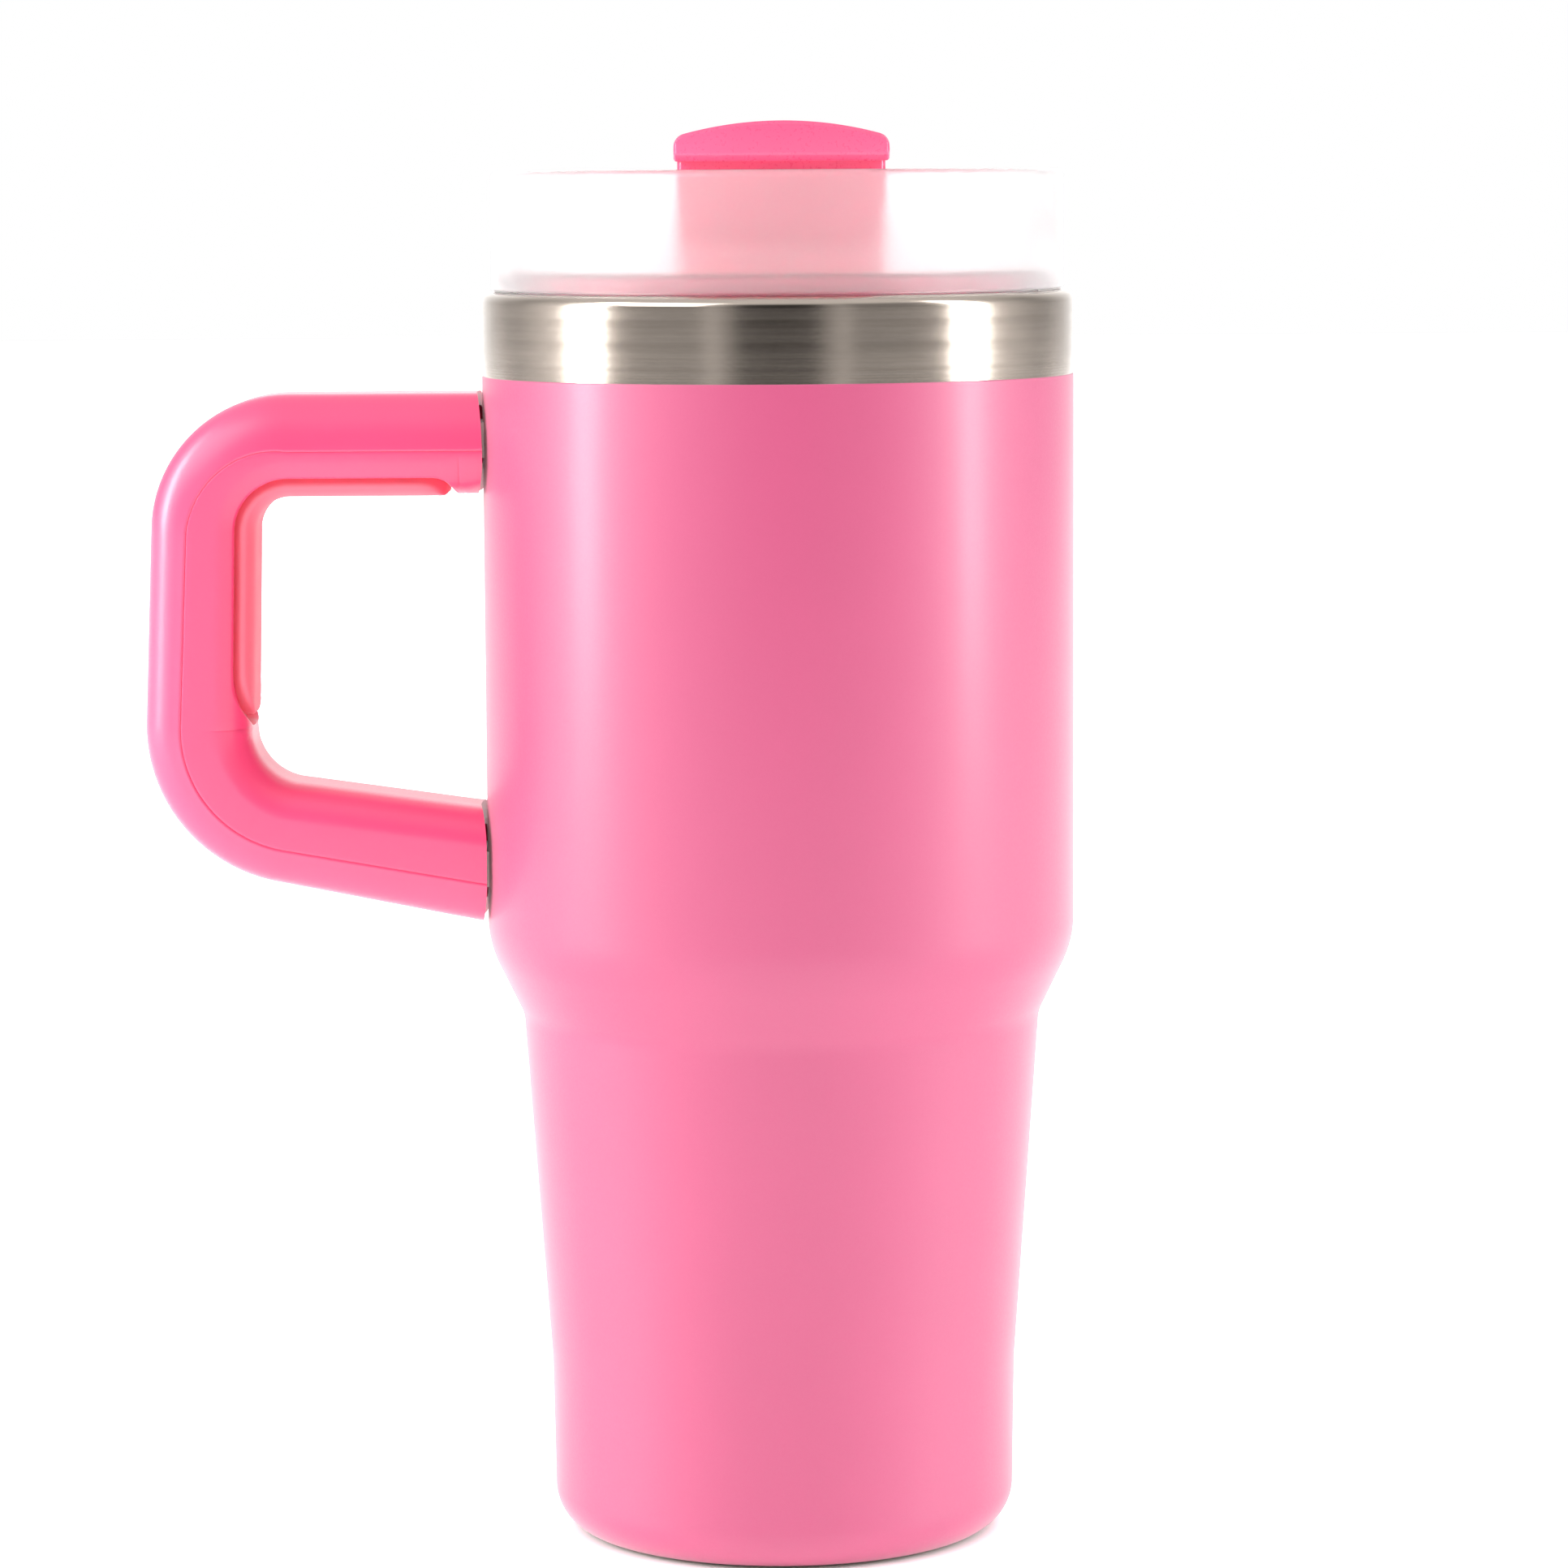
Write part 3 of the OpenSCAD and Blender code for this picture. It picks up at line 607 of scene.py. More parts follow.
class Vessel:
    """Outlines of the vessel's walls. A depth is measured inwards from the coating's face."""

    lip_r = 25.4
    crease_round = 6
    floor_round = 9
    mouth_depth = 20

    def __init__(self, chosen):
        self.s = s = InMillimetres(chosen.body)
        self.shell_d = s.coat_t
        self.shell_in_d = self.shell_d + s.steel_t
        self.liner_out_d = self.shell_in_d + s.vacuum_gap
        self.liner_in_d = self.liner_out_d + s.steel_t
        self.foot_cr = s.foot_r - s.foot_round
        self.foot_cz = s.foot_round - s.coat_t
        self.rim_round = (s.body_r - s.coat_t - s.mouth_r) / 2
        self.rim_cr = s.mouth_r + self.rim_round
        self.rim_cz = s.rim_z - self.rim_round
        self.coat_top = s.rim_z - s.band_h
        self.mouth_z = s.rim_z - self.mouth_depth

    def flank(self, depth):
        """The wall from the knee to the top of the shoulder, a depth under the coating."""
        s = self.s
        lean = math.radians(s.shoulder_angle)
        crease_z = s.shoulder_z - s.shoulder_round * math.sin(lean) - (
            s.body_r - s.shoulder_round * (1 - math.cos(lean)) - s.crease_r) / math.tan(lean)
        start = (s.knee_r - depth, s.knee_z)
        crease = (s.crease_r - depth, crease_z)
        shoulder = arc(s.body_r - s.shoulder_round, s.shoulder_z, s.shoulder_round - depth,
                       -s.shoulder_angle, 0, 14)
        soft = filleted([(*start, 0), (*crease, self.crease_round), (*shoulder[0], 0),
                         (0, crease_z, 0)], 6)
        return [start] + soft[1:-2] + shoulder

    def foot(self, depth, low):
        """The rounding at the foot, from an angle up to level."""
        return arc(self.foot_cr, self.foot_cz, self.s.foot_round - depth, low, 0, 20)

    def rim(self, depth, start, end):
        """The rolled rim between two angles."""
        return arc(self.rim_cr, self.rim_cz, self.rim_round - depth, start, end, 12)

    def shell_outline(self):
        t = self.s.steel_t
        lip = self.lip_r
        return ([(lip - t, 0.4), (lip - t * 0.75, 0.12), (lip - t / 2, 0), (self.foot_cr, 0)]
                + self.foot(self.shell_d, -90) + self.flank(self.shell_d) + self.rim(0, 0, 90)
                + self.rim(t, 90, 0) + self.flank(self.shell_in_d)[::-1]
                + self.foot(self.shell_in_d, -90)[::-1]
                + [(lip, t), (lip, 3), (lip - t, 3)])

    def coat_outline(self, foot_z):
        s = self.s
        low = -math.degrees(math.asin((self.foot_cz - foot_z) / s.foot_round))
        top = self.coat_top
        edge = arc(s.body_r - 0.17, top - 0.17, 0.17, 0, 90, 4)
        return (self.foot(0, low) + self.flank(0) + edge + [(s.body_r - s.coat_t, top)]
                + self.flank(s.coat_t)[::-1] + self.foot(s.coat_t, low)[::-1])

    def liner_floor(self, depth, z):
        """The rounding round the liner's floor."""
        r = self.s.knee_r - depth - self.floor_round
        return arc(r, z + self.floor_round, self.floor_round, -90, 0, 14)

    def liner_outline(self):
        s = self.s
        t = s.steel_t
        inner_r, outer_r = s.body_r - self.liner_in_d, s.body_r - self.liner_out_d
        return (self.rim(0, 90, 180)
                + filleted([(s.mouth_r, self.rim_cz, 0), (s.mouth_r, self.mouth_z, 1.5),
                            (inner_r, self.mouth_z - 2.5, 1.5), (inner_r, 90, 0),
                            (0, 90, 0)], 4)[1:-2]
                + self.flank(self.liner_in_d)[::-1]
                + self.liner_floor(self.liner_in_d, s.floor_z)[::-1] + [(0, s.floor_z)]
                + [(0, s.floor_z - t)] + self.liner_floor(self.liner_out_d, s.floor_z - t)
                + self.flank(self.liner_out_d)
                + [(outer_r, self.mouth_z - 3), (s.mouth_r + t, self.mouth_z - 0.5)]
                + self.rim(t, 180, 90))


def thread_ridges(lid, base, tip, z, span=100):
    """Helical ridges from the base radius to the tip radius that run out at both ends."""
    steps, made = 72, []
    for start in range(lid.thread_starts):
        rings = []
        for i in range(steps + 1):
            a = 360 * start / lid.thread_starts + span * i / steps
            h = z + lid.thread_lead * span * i / steps / 360
            end = min(i, steps - i) / steps * span / 9
            rise = 0.12 + 0.88 * math.sin(math.pi / 2 * min(1, end))
            ring = []
            for out, up in ((0, -0.9), (0.55, -0.66), (0.85, -0.5), (1, -0.28),
                            (1, 0.28), (0.85, 0.5), (0.55, 0.66), (0, 0.9)):
                x, y = polar(base + (tip - base) * out * rise, a)
                ring.append((x, y, h + up * (0.35 + 0.65 * rise)))
            rings.append(ring)
        made.append(lofted(f"ridge_{start}", rings, 50))
    return made


# ---- the handle's shape ----


class HandlePath:
    """Stations of the handle. A station is (x, z, outward angle, inner face, outer face, seam)."""

    root = 38
    upper_z = 156.8
    bend_x, bend_r, bend_turn = 69.4, 12.6, 88
    grip = 27.5
    low_r, low_turn = 15.4, 82.5
    faces = {
        "upper": (-7.1, 7.1, -0.9), "grip_top": (-7.6, 7.0, 1.5), "grip_end": (-7.9, 7.2, 1.8),
        "low": (-7.35, 7.2, 2.0), "root": (-8.2, 8.2, 2.2)}

    def __init__(self, chosen):
        self.s = InMillimetres(chosen.handle)
        self.half_w = self.s.width / 2
        self.cut_r = InMillimetres(chosen.body).body_r + self.s.arm_gap
        self.upper_c = (-self.bend_x, self.upper_z - self.bend_r)
        self.grip_dir = 90 + self.bend_turn
        gx, gz = polar(self.bend_r, self.grip_dir)
        self.grip_0 = (self.upper_c[0] + gx, self.upper_c[1] + gz)
        cx, cz = polar(1, self.grip_dir)
        self.grip_1 = (self.grip_0[0] - cz * self.grip, self.grip_0[1] + cx * self.grip)
        self.low_c = (self.grip_1[0] - self.low_r * cx, self.grip_1[1] - self.low_r * cz)
        self.low_dir = self.grip_dir + self.low_turn
        lx, lz = polar(self.low_r, self.low_dir)
        self.low_0 = (self.low_c[0] + lx, self.low_c[1] + lz)
        self.low_len = (-self.root - self.low_0[0]) / -math.sin(math.radians(self.low_dir))
        self.upper_len = self.bend_x - self.cut_r
        self.lengths = [self.upper_len, math.radians(self.bend_turn) * self.bend_r, self.grip,
                        math.radians(self.low_turn) * self.low_r, self.low_len]

    def mixed(self, a, b, t):
        """Faces and seam between two named ones."""
        return tuple(p + (q - p) * t for p, q in zip(self.faces[a], self.faces[b]))

    def station(self, s):
        """The station at a distance along the path from the upper arm's end at the body."""
        part = 0
        while part < 4 and s > self.lengths[part] + 1e-9:
            s -= self.lengths[part]
            part += 1
        t = s / self.lengths[part]
        if part == 0:
            return (-self.cut_r - s, self.upper_z, 90, *self.faces["upper"])
        if part == 1:
            a = 90 + self.bend_turn * t
            x, z = polar(self.bend_r, a)
            return (self.upper_c[0] + x, self.upper_c[1] + z, a,
                    *self.mixed("upper", "grip_top", t))
        if part == 2:
            return (self.grip_0[0] + (self.grip_1[0] - self.grip_0[0]) * t,
                    self.grip_0[1] + (self.grip_1[1] - self.grip_0[1]) * t,
                    self.grip_dir, *self.mixed("grip_top", "grip_end", t))
        if part == 3:
            a = self.grip_dir + self.low_turn * t
            x, z = polar(self.low_r, a)
            return (self.low_c[0] + x, self.low_c[1] + z, a, *self.mixed("grip_end", "low", t))
        run_x, run_z = -math.sin(math.radians(self.low_dir)), math.cos(math.radians(self.low_dir))
        return (self.low_0[0] + run_x * s, self.low_0[1] + run_z * s, self.low_dir,
                *self.mixed("low", "root", t))

    def place(self, station, u, v, end=0):
        """The point of a section at u outwards and v across; at an end it meets the body's curve."""
        x, z = station[0], station[1]
        ox, oz = polar(1, station[2])
        px, pz = x + u * ox, z + u * oz
        if end:
            run_x, run_z = -oz, ox
            stop = -math.sqrt(self.cut_r ** 2 - v * v)
            slide = (stop - px) / run_x
            px, pz = px + run_x * slide, pz + run_z * slide
        return (px, v, pz)

    def end_s(self):
        """Distance at which the lower arm reaches the body."""
        run = -math.sin(math.radians(self.low_dir))
        return sum(self.lengths[:4]) + (-self.cut_r - self.low_0[0]) / run


def spread(start, end, step):
    """Values from start to end, about a step apart, without the end."""
    n = max(1, round((end - start) / step))
    return [start + (end - start) * i / n for i in range(n)]


class Inlay:
    """Where the soft inlay lies: its ends along the path and its half width round the section."""

    recess = 1.65

    def __init__(self, path):
        self.path = path
        self.first = 45 - path.cut_r
        self.last = sum(path.lengths[:2]) + path.grip * 1.02
        self.flat = path.half_w - path.s.rounding
        self.edge_q = self.flat + path.s.rounding * math.acos(1 - 2.75 / path.s.rounding)

    def reach(self, s, inset):
        """Half width at a distance along the path, for an outline set in from the recess's."""
        full = self.edge_q - inset
        from_start, to_end = s - self.first - inset, self.last - inset - s
        if from_start <= 0 or to_end <= 0:
            return 0
        blunt, tongue = 4.0, 7.5
        width = full
        if from_start < blunt:
            width = min(width, full * (1 - (1 - from_start / blunt) ** 2.6) ** (1 / 2.6))
        if to_end < tongue:
            width = min(width, full * (1 - (1 - to_end / tongue) ** 2.2) ** (1 / 2.2))
        return width

    def mesh_edge(self, s):
        """Where the mesh's lines gather: at the outline, and easing away beyond its ends."""
        beyond, span = max(self.first - s, s - self.last), 7.0
        if beyond <= 0:
            return max(self.reach(s, 0), 0.05)
        return max(0.05, self.edge_q * (1 - (1 - min(1, beyond / span)) ** 2.2) ** (1 / 2.2))

    def stations(self):
        """Distances along the path, close together where the outline turns."""
        ends = []
        for k in (0, .04, .12, .25, .45, .75, 1.2, 1.8, 2.6, 3.6, 4.8, 6.2, 8):
            ends += [self.first + k, self.last - k]
        for k in (.12, .45, 1.0, 1.8, 3.0, 4.6, 6.4):
            ends += [self.first - k, self.last + k]
        inset = self.path.s.groove
        for k in (0, .04, .12, .25, .5, .9, 1.4, 2.1, 3, 4):
            ends += [self.first + inset + k, self.last - inset - k]
        return ends


def inner_contour(path, station, q):
    """Point and outward normal on the handle's inner half, q round it from the middle line."""
    r, flat = path.s.rounding, path.half_w - path.s.rounding
    inner = station[3]
    side, q = (1 if q >= 0 else -1), abs(q)
    quarter = r * math.pi / 2
    if q <= flat:
        return inner, side * q, -1, 0
    if q <= flat + quarter:
        a = (q - flat) / r
        return (inner + r - r * math.cos(a), side * (flat + r * math.sin(a)),
                -math.cos(a), side * math.sin(a))
    return inner + r + q - flat - quarter, side * path.half_w, 0, side


def handle_stations(path, inlay):
    """Distances along the handle's path at which it is meshed."""
    a, b, c, d, _ = path.lengths
    marks = (spread(0, a, 2.4) + spread(a, a + b, 0.85) + spread(a + b, a + b + c, 2.5)
             + spread(a + b + c, a + b + c + d, 1.0)
             + spread(a + b + c + d, path.end_s(), 3) + [path.end_s()] + inlay.stations())
    kept = [0]
    for s in sorted(marks):
        if s - kept[-1] > (0.03 if kept[-1] else 0.9) and s < path.end_s() - 2:
            kept.append(s)
    kept.append(path.end_s())
    return kept


def seam_edge(seam, half_w, away):
    """The rounded edge of a half shell at the parting line; away is +1 or -1 from the seam."""
    run, dip = 0.42, 0.13
    return [(seam + away * (0.01 + run - run * math.cos(t)), half_w - dip + dip * math.sin(t))
            for t in (math.pi / 2 * k / 5 for k in range(6))]


# ---- the lid's shape ----


class LidShape:
    """Heights and radii of the lid and of its rotary cover."""

    slot_mid, slot_half, slot_half_angle = 28.2, 3, 8
    seat_half, seat_depth = 4.4, 0.8
    straw_mid, straw_r, straw_turn = 22, 6, -30
    flange_r, flange_depth = 7.6, 0.9
    vent_mid, vent_r = 20, 0.9
    window_in, window_out, window_half_angle, window_corner = 15.5, 31.6, 15, 3
    window_turn = 30
    hub_bore, hub_r, hub_h = 2, 6, 4.4
    tab_knee_r, tab_back = 31.5, 24.5

    def __init__(self, chosen):
        self.s = s = InMillimetres(chosen.lid)
        body = InMillimetres(chosen.body)
        self.rim_z, self.mouth_r = body.rim_z, body.mouth_r
        self.collar_in = s.collar_r - s.collar_t
        self.collar_z = self.rim_z + s.collar_h
        self.deck_z = self.rim_z - s.deck_depth
        self.ledge_z = self.rim_z + 2.6
        self.skirt_z = self.rim_z - s.skirt_depth
        self.skirt_r = self.mouth_r - 1.6
        self.skirt_in = self.skirt_r - 2.2
        self.thread_z = self.rim_z - 13
        self.cover_z = self.deck_z + 0.4
        self.cover_top = self.cover_z + s.cover_t
        self.hub_z = self.deck_z - s.deck_t - 0.2
        self.tab_top = self.rim_z + s.tab_h
        self.lip_z = self.collar_z + 1.1
        self.lip_r = s.collar_r - 0.5
        self.tab_r = self.collar_in - 0.5
        self.tab_knee_z = self.rim_z + 6
        self.tab_front_z = self.rim_z + 15.5

    def body_outline(self):
        s = self.s
        deck_under = self.deck_z - s.deck_t
        groove_0, groove_1 = self.rim_z - 4.5, self.rim_z - 0.9
        groove_r = self.skirt_r - 0.8
        return filleted([
            (self.skirt_in, self.skirt_z, 0.5), (self.skirt_r, self.skirt_z, 0.6),
            (self.skirt_r, groove_0, 0.15), (groove_r, groove_0, 0.1),
            (groove_r, groove_1, 0.1), (self.skirt_r, groove_1, 0.15),
            (self.skirt_r, self.rim_z + 0.2, 0.3), (s.collar_r, self.rim_z + 0.2, 0.55),
            (s.collar_r, self.collar_z, 1.18), (self.collar_in, self.collar_z, 1.18),
            (self.collar_in, self.ledge_z, 0.8), (self.skirt_in, self.ledge_z, 0.6),
            (self.skirt_in, self.deck_z, 0.3), (8, self.deck_z, 0.2), (8, self.deck_z - 1.2, 0.1),
            (6.05, self.deck_z - 1.2, 0.15), (6.05, deck_under, 0.15),
            (self.skirt_in, deck_under, 0.9)], 6)

    def slot_outline(self, half):
        """A curved slot with round ends, centred on the +X direction."""
        mid, half_angle = self.slot_mid, self.slot_half_angle
        ex, ey = polar(mid, half_angle)
        right = ([polar(mid + half, half_angle * i / 8) for i in range(1, 8)]
                 + arc(ex, ey, half, half_angle, half_angle + 180, 16)
                 + [polar(mid - half, half_angle * i / 8) for i in range(7, 0, -1)])
        return [(mid + half, 0)] + right + [(mid - half, 0)] + mirrored(right)

    def window_outline(self):
        """A wedge-shaped window with round corners, centred on the +X direction."""
        low, high, half = self.window_in, self.window_out, self.window_half_angle
        corner = self.window_corner
        r0, r1 = low + corner, high - corner
        a0 = half - math.degrees(math.asin(corner / r0))
        a1 = half - math.degrees(math.asin(corner / r1))
        far, near = polar(r1, a1), polar(r0, a0)
        upper = ([polar(high, a1 * i / 8) for i in range(1, 8)]
                 + arc(*far, corner, a1, half + 90, 8)
                 + arc(*near, corner, half + 90, a0 + 180, 8)
                 + [polar(low, a0 * i / 5) for i in range(4, 0, -1)])
        return [(high, 0)] + upper + [(low, 0)] + mirrored(upper)


def mirrored(points):
    """The points on the other side of the X axis, in reverse order."""
    return [(x, -y) for x, y in reversed(points)]


def circle_outline(cx, radius, steps=64):
    """A circle with its centre on the X axis."""
    return arc(cx, 0, radius, 0, 360 * (steps - 1) / steps, steps - 1)


def plate_cutter(outline, start, top, edge_top, under=0.0, edge_under=0.0):
    """A cutter from start up through a plate that also rounds the opening's edges."""
    steps = 4
    levels = [(edge_under, start)]
    if edge_under:
        for i in range(steps + 1):
            up, inwards = polar(edge_under, 90 * i / steps)
            levels.append((edge_under - inwards, under + edge_under - up))
    for i in range(steps + 1):
        out, up = polar(edge_top, 90 * i / steps)
        levels.append((edge_top - out, top - edge_top + up))
    levels.append((edge_top, top + 6))
    return lofted("plate_cutter", [[(x, y, z) for x, y in offset_outline(outline, grown)]
                                   for grown, z in levels])


def tab_rings(half, profile, round_end, crown_round):
    """Rings of the thumb tab from one end to the other, drawn in at its rounded ends."""
    ends = [0, .03, .1, .2, .33, .5, .7, 1]
    reach = max(round_end, crown_round)
    xs = [-half + reach * k for k in ends] + spread(-half + reach, half - reach, 0.9)[1:]
    xs += [half - reach * k for k in reversed(ends)]
    rings = []
    for x in xs:
        gap = half - abs(x)

        def drawn_in(radius):
            return radius - math.sqrt(max(0, radius ** 2 - max(0, radius - gap) ** 2))

        rings.append([(x, y, z) for y, z in profile(x, drawn_in(round_end), drawn_in(crown_round))])
    return rings


# ---- operators ----


class TUMBLER_OT_coated_shell(bpy.types.Operator):
    """Builds the outer steel shell with its bare band and the powder coating over it"""

    bl_idname = "tumbler.coated_shell"
    bl_label = "Coated Shell"

    def execute(self, context):
        chosen = settings(context)
        vessel = Vessel(chosen)
        shell = revolved("outer_shell_wall", vessel.shell_outline(), 256)
        finish_piece(shell, "vessel", ["outer_shell"], turned_steel_finish(
            "brushed_band_finish", chosen.colours.steel, 0.15))
        coat = revolved("powder_coat_skin", vessel.coat_outline(0.6), 256)
        finish_piece(coat, "vessel", ["powder_coat"],
                     powder_coat_finish(chosen.colours))
        return {"FINISHED"}


class TUMBLER_OT_liner(bpy.types.Operator):
    """Builds the inner liner with the thread ridges of its mouth"""

    bl_idname = "tumbler.liner"
    bl_label = "Inner Liner"

    def execute(self, context):
        chosen = settings(context)
        lid = LidShape(chosen)
        vessel = Vessel(chosen)
        liner = revolved("inner_liner_wall", vessel.liner_outline(), 192)
        mouth = vessel.s.mouth_r
        for ridge in thread_ridges(lid.s, mouth + 0.3, mouth - 1.2, lid.thread_z):
            combine(liner, ridge, "UNION")
        sharpen(liner, 38)
        finish_piece(liner, "vessel", ["inner_liner"], turned_steel_finish(
            "satin_liner_finish", (0.66, 0.645, 0.62), 0.34, 1.4, 0.35))
        return {"FINISHED"}


class TUMBLER_OT_base(bpy.types.Operator):
    """Finishes the base: outer bottom, cover disc, getter and vacuum seal"""

    bl_idname = "tumbler.base"
    bl_label = "Base"

    def execute(self, context):
        finish_nodes(["outer_base"], plain_steel_finish("base_steel_finish", (0.6, 0.58, 0.55), 0.36))
        finish_nodes(["base_disc"], turned_steel_finish(
            "spun_disc_finish", (0.66, 0.64, 0.61), 0.26, 2.0, 0.7))
        finish_nodes(["getter"], sintered_finish())
        finish_nodes(["vacuum_seal"], solder_finish())
        return {"FINISHED"}


class TUMBLER_OT_handle(bpy.types.Operator):
    """Builds the handle's two half shells, with the recess for the inlay"""

    bl_idname = "tumbler.handle"
    bl_label = "Handle Shells"

    wall_side, wall_out, wall_in = 2.75, 2.0, 3.45

    def outer_section(self, path, station):
        r, half = path.s.rounding, path.half_w
        face, seam = station[4:]
        edge = seam_edge(seam, half, 1)[:-1]
        draft_u, across = 1.5, r + 0.3
        tall = face - seam + draft_u
        start = math.asin(draft_u / tall)
        centre_v = half - across * math.cos(start)
        turns = [start + (math.pi / 2 - start) * k / 14 for k in range(1, 15)]
        corner = [(seam - draft_u + tall * math.sin(t), centre_v + across * math.cos(t))
                  for t in turns if seam - draft_u + tall * math.sin(t) > seam + 0.5]
        line = edge + [(seam + 0.43, corner[0][1] * 0.25 + half * 0.75)] + corner
        line += [(face, v) for v in (2.9, 1.4)]
        return line + [(face, 0)] + mirrored(line)

    def skin_inside(self, line, face, half, seam, wall, side_wall, toward):
        """The cavity's line, point for point under the outer line."""
        made = []
        inner_half = half - side_wall
        limit = face - toward * wall
        r = 2.5
        for u, v in line:
            x, y = u, max(-inner_half, min(inner_half, v * inner_half / half))
            over = toward * (x - (limit - toward * r))
            if toward * x > toward * limit:
                x = limit
            near = abs(y) - (inner_half - r)
            if near > 0 and over > 0:
                deep = min(over, r)
                allowed = inner_half - r + math.sqrt(max(0, r * r - deep * deep))
                y = math.copysign(min(abs(y), allowed), y)
            made.append((x, y))
        made[0] = (seam, math.copysign(inner_half, line[0][1]))
        made[-1] = (seam, math.copysign(inner_half, line[-1][1]))
        return made

    def inner_section(self, path, inlay, station, s):
        half, r = path.half_w, path.s.rounding
        seam = station[5]
        quarter = r * math.pi / 2
        top_q = inlay.flat + quarter
        side_q = top_q + (seam - 0.44) - (station[3] + r)
        reach = inlay.reach(s, 0)
        lip, wall = 0.75, 0.2
        edge = inlay.mesh_edge(s)
        squeeze = min(1, edge / (1.3 * (lip + wall)))
        steps = [k * lip for k in (0, 0.25, 0.5, 0.72, 0.9, 1)] + [lip + wall * 0.5, lip + wall]
        qs = [side_q, (side_q + top_q) / 2, top_q]
        qs += [top_q + (edge - top_q) * k for k in (.13, .26, .39, .52, .65, .78, .9, .97)]
        qs += [edge - x * squeeze for x in steps]
        qs += [qs[-1] * k for k in (0.85, 0.68, 0.5, 0.33, 0.16)]

        def depth(q):
            x = reach - q
            if reach <= 0 or x <= 0:
                return 0
            if x < lip:
                return lip - math.sqrt(max(0, lip * lip - x * x))
            return min(inlay.recess, lip + (inlay.recess - lip) * (x - lip) / wall)

        line = seam_edge(seam, half, -1)[:-1]
        for q in qs + [0]:
            u, v, nu, nv = inner_contour(path, station, q)
            line.append((u - nu * depth(q), v - nv * depth(q)))
        return line + mirrored(line[:-1])

    def execute(self, context):
        chosen = settings(context)
        path = HandlePath(chosen)
        inlay = Inlay(path)
        marks = handle_stations(path, inlay)
        skins = {"outer": ([], []), "inner": ([], [])}
        for i, s in enumerate(marks):
            station = path.station(s)
            end = i in (0, len(marks) - 1)
            outer = self.outer_section(path, station)
            inner = self.inner_section(path, inlay, station, s)
            pairs = {
                "outer": (outer, self.skin_inside(outer, station[4], path.half_w, station[5],
                                                  self.wall_out, self.wall_side, 1)),
                "inner": (inner, self.skin_inside(inner, station[3], path.half_w, station[5],
                                                  self.wall_in, self.wall_side, -1))}
            for name, (out, inside) in pairs.items():
                skins[name][0].append([path.place(station, u, v, end) for u, v in out])
                skins[name][1].append([path.place(station, u, v, end) for u, v in inside])
        outer = double_skin("handle_outer_half", *skins["outer"], sharp=50)
        plug_low, plug_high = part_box("screw_plug")
        centre = (plug_low + plug_high) / 2 / MM
        ox, oz = polar(1, path.low_dir)
        start = (centre.x - 2.2 * ox, 0, centre.z - 2.2 * oz)
        combine(outer, peg("plug_hole", start, (ox, 0, oz), 3.3, 12), "DIFFERENCE")
        sharpen(outer, 50)
        inner = double_skin("handle_inner_half", *skins["inner"], sharp=50)
        plastic = moulded_finish(
            "handle_plastic_finish", chosen.colours.handle, 0.42, Specular_IOR_Level=0.8,
            Sheen_Weight=0.4, Sheen_Roughness=0.3, Coat_Weight=0.5, Coat_Roughness=0.25)
        finish_piece(outer, "vessel", ["handle_outer_shell"], plastic)
        finish_piece(inner, "vessel", ["handle_inner_shell"], plastic)
        return {"FINISHED"}


class TUMBLER_OT_inlay(bpy.types.Operator):
    """Builds the soft inlay on the handle's inner side"""

    bl_idname = "tumbler.inlay"
    bl_label = "Grip Inlay"

    def execute(self, context):
        chosen = settings(context)
        path = HandlePath(chosen)
        inlay = Inlay(path)
        inset = path.s.groove
        proud = path.s.inlay_proud
        first, last = inlay.first + inset, inlay.last - inset
        a, b = path.lengths[:2]
        near = (.01, .04, .1, .2, .35, .55, .8, 1.2, 1.8, 2.6, 3.6, 4.8)
        marks = [first + k for k in near] + [last - k for k in (*near, 6.2)]
        marks += spread(first + 6, a, 2) + spread(a, a + b, 0.85) + spread(a + b, last - 7.6, 2.5)
        rounding, deep = 0.9, inlay.recess - 0.02
        shares = (0, .06, .16, .3, .48, .7, 1)
        rings = []
        for s in sorted(marks):
            station = path.station(s)
            reach = inlay.reach(s, inset)
            to_end = min(s - first, last - s)
            top, floor = [], []
            qs = [reach - rounding * k for k in shares if reach - rounding * k > 0]
            while len(qs) < len(shares):
                qs.append(qs[-1] * 0.6)
            qs += [qs[-1] * k for k in (0.8, 0.6, 0.4, 0.2)]
            for q in qs + [0]:
                u, v, nu, nv = inner_contour(path, station, q)
                x = min(rounding, reach - q, to_end)
                d = -proud + rounding - math.sqrt(max(0, rounding ** 2 - (rounding - x) ** 2))
                top.append((u - nu * d, v - nv * d))
                floor.append((u - nu * deep, v - nv * deep))
            section = top + mirrored(top[:-1]) + [(u, -v) for u, v in floor] + floor[-2::-1]
            rings.append([path.place(station, u, v) for u, v in section])
        pad = lofted("soft_grip_inlay", rings, 55)
        finish_piece(pad, "vessel", ["grip_inlay"],
                     elastomer_finish(chosen.colours))
        return {"FINISHED"}


class TUMBLER_OT_fixings(bpy.types.Operator):
    """Finishes the handle's brackets, screws and plug"""

    bl_idname = "tumbler.fixings"
    bl_label = "Handle Fixings"

    def execute(self, context):
        finish_nodes(["upper_handle_bracket", "lower_handle_bracket"],
                     plain_steel_finish("bracket_steel_finish", (0.6, 0.58, 0.55), 0.34))
        finish_nodes(["handle_screws"],
                     plain_steel_finish("screw_steel_finish", (0.55, 0.54, 0.52), 0.28))
        finish_nodes(["screw_plug"], moulded_finish(
            "plug_plastic_finish", settings(context).colours.handle, 0.42))
        return {"FINISHED"}


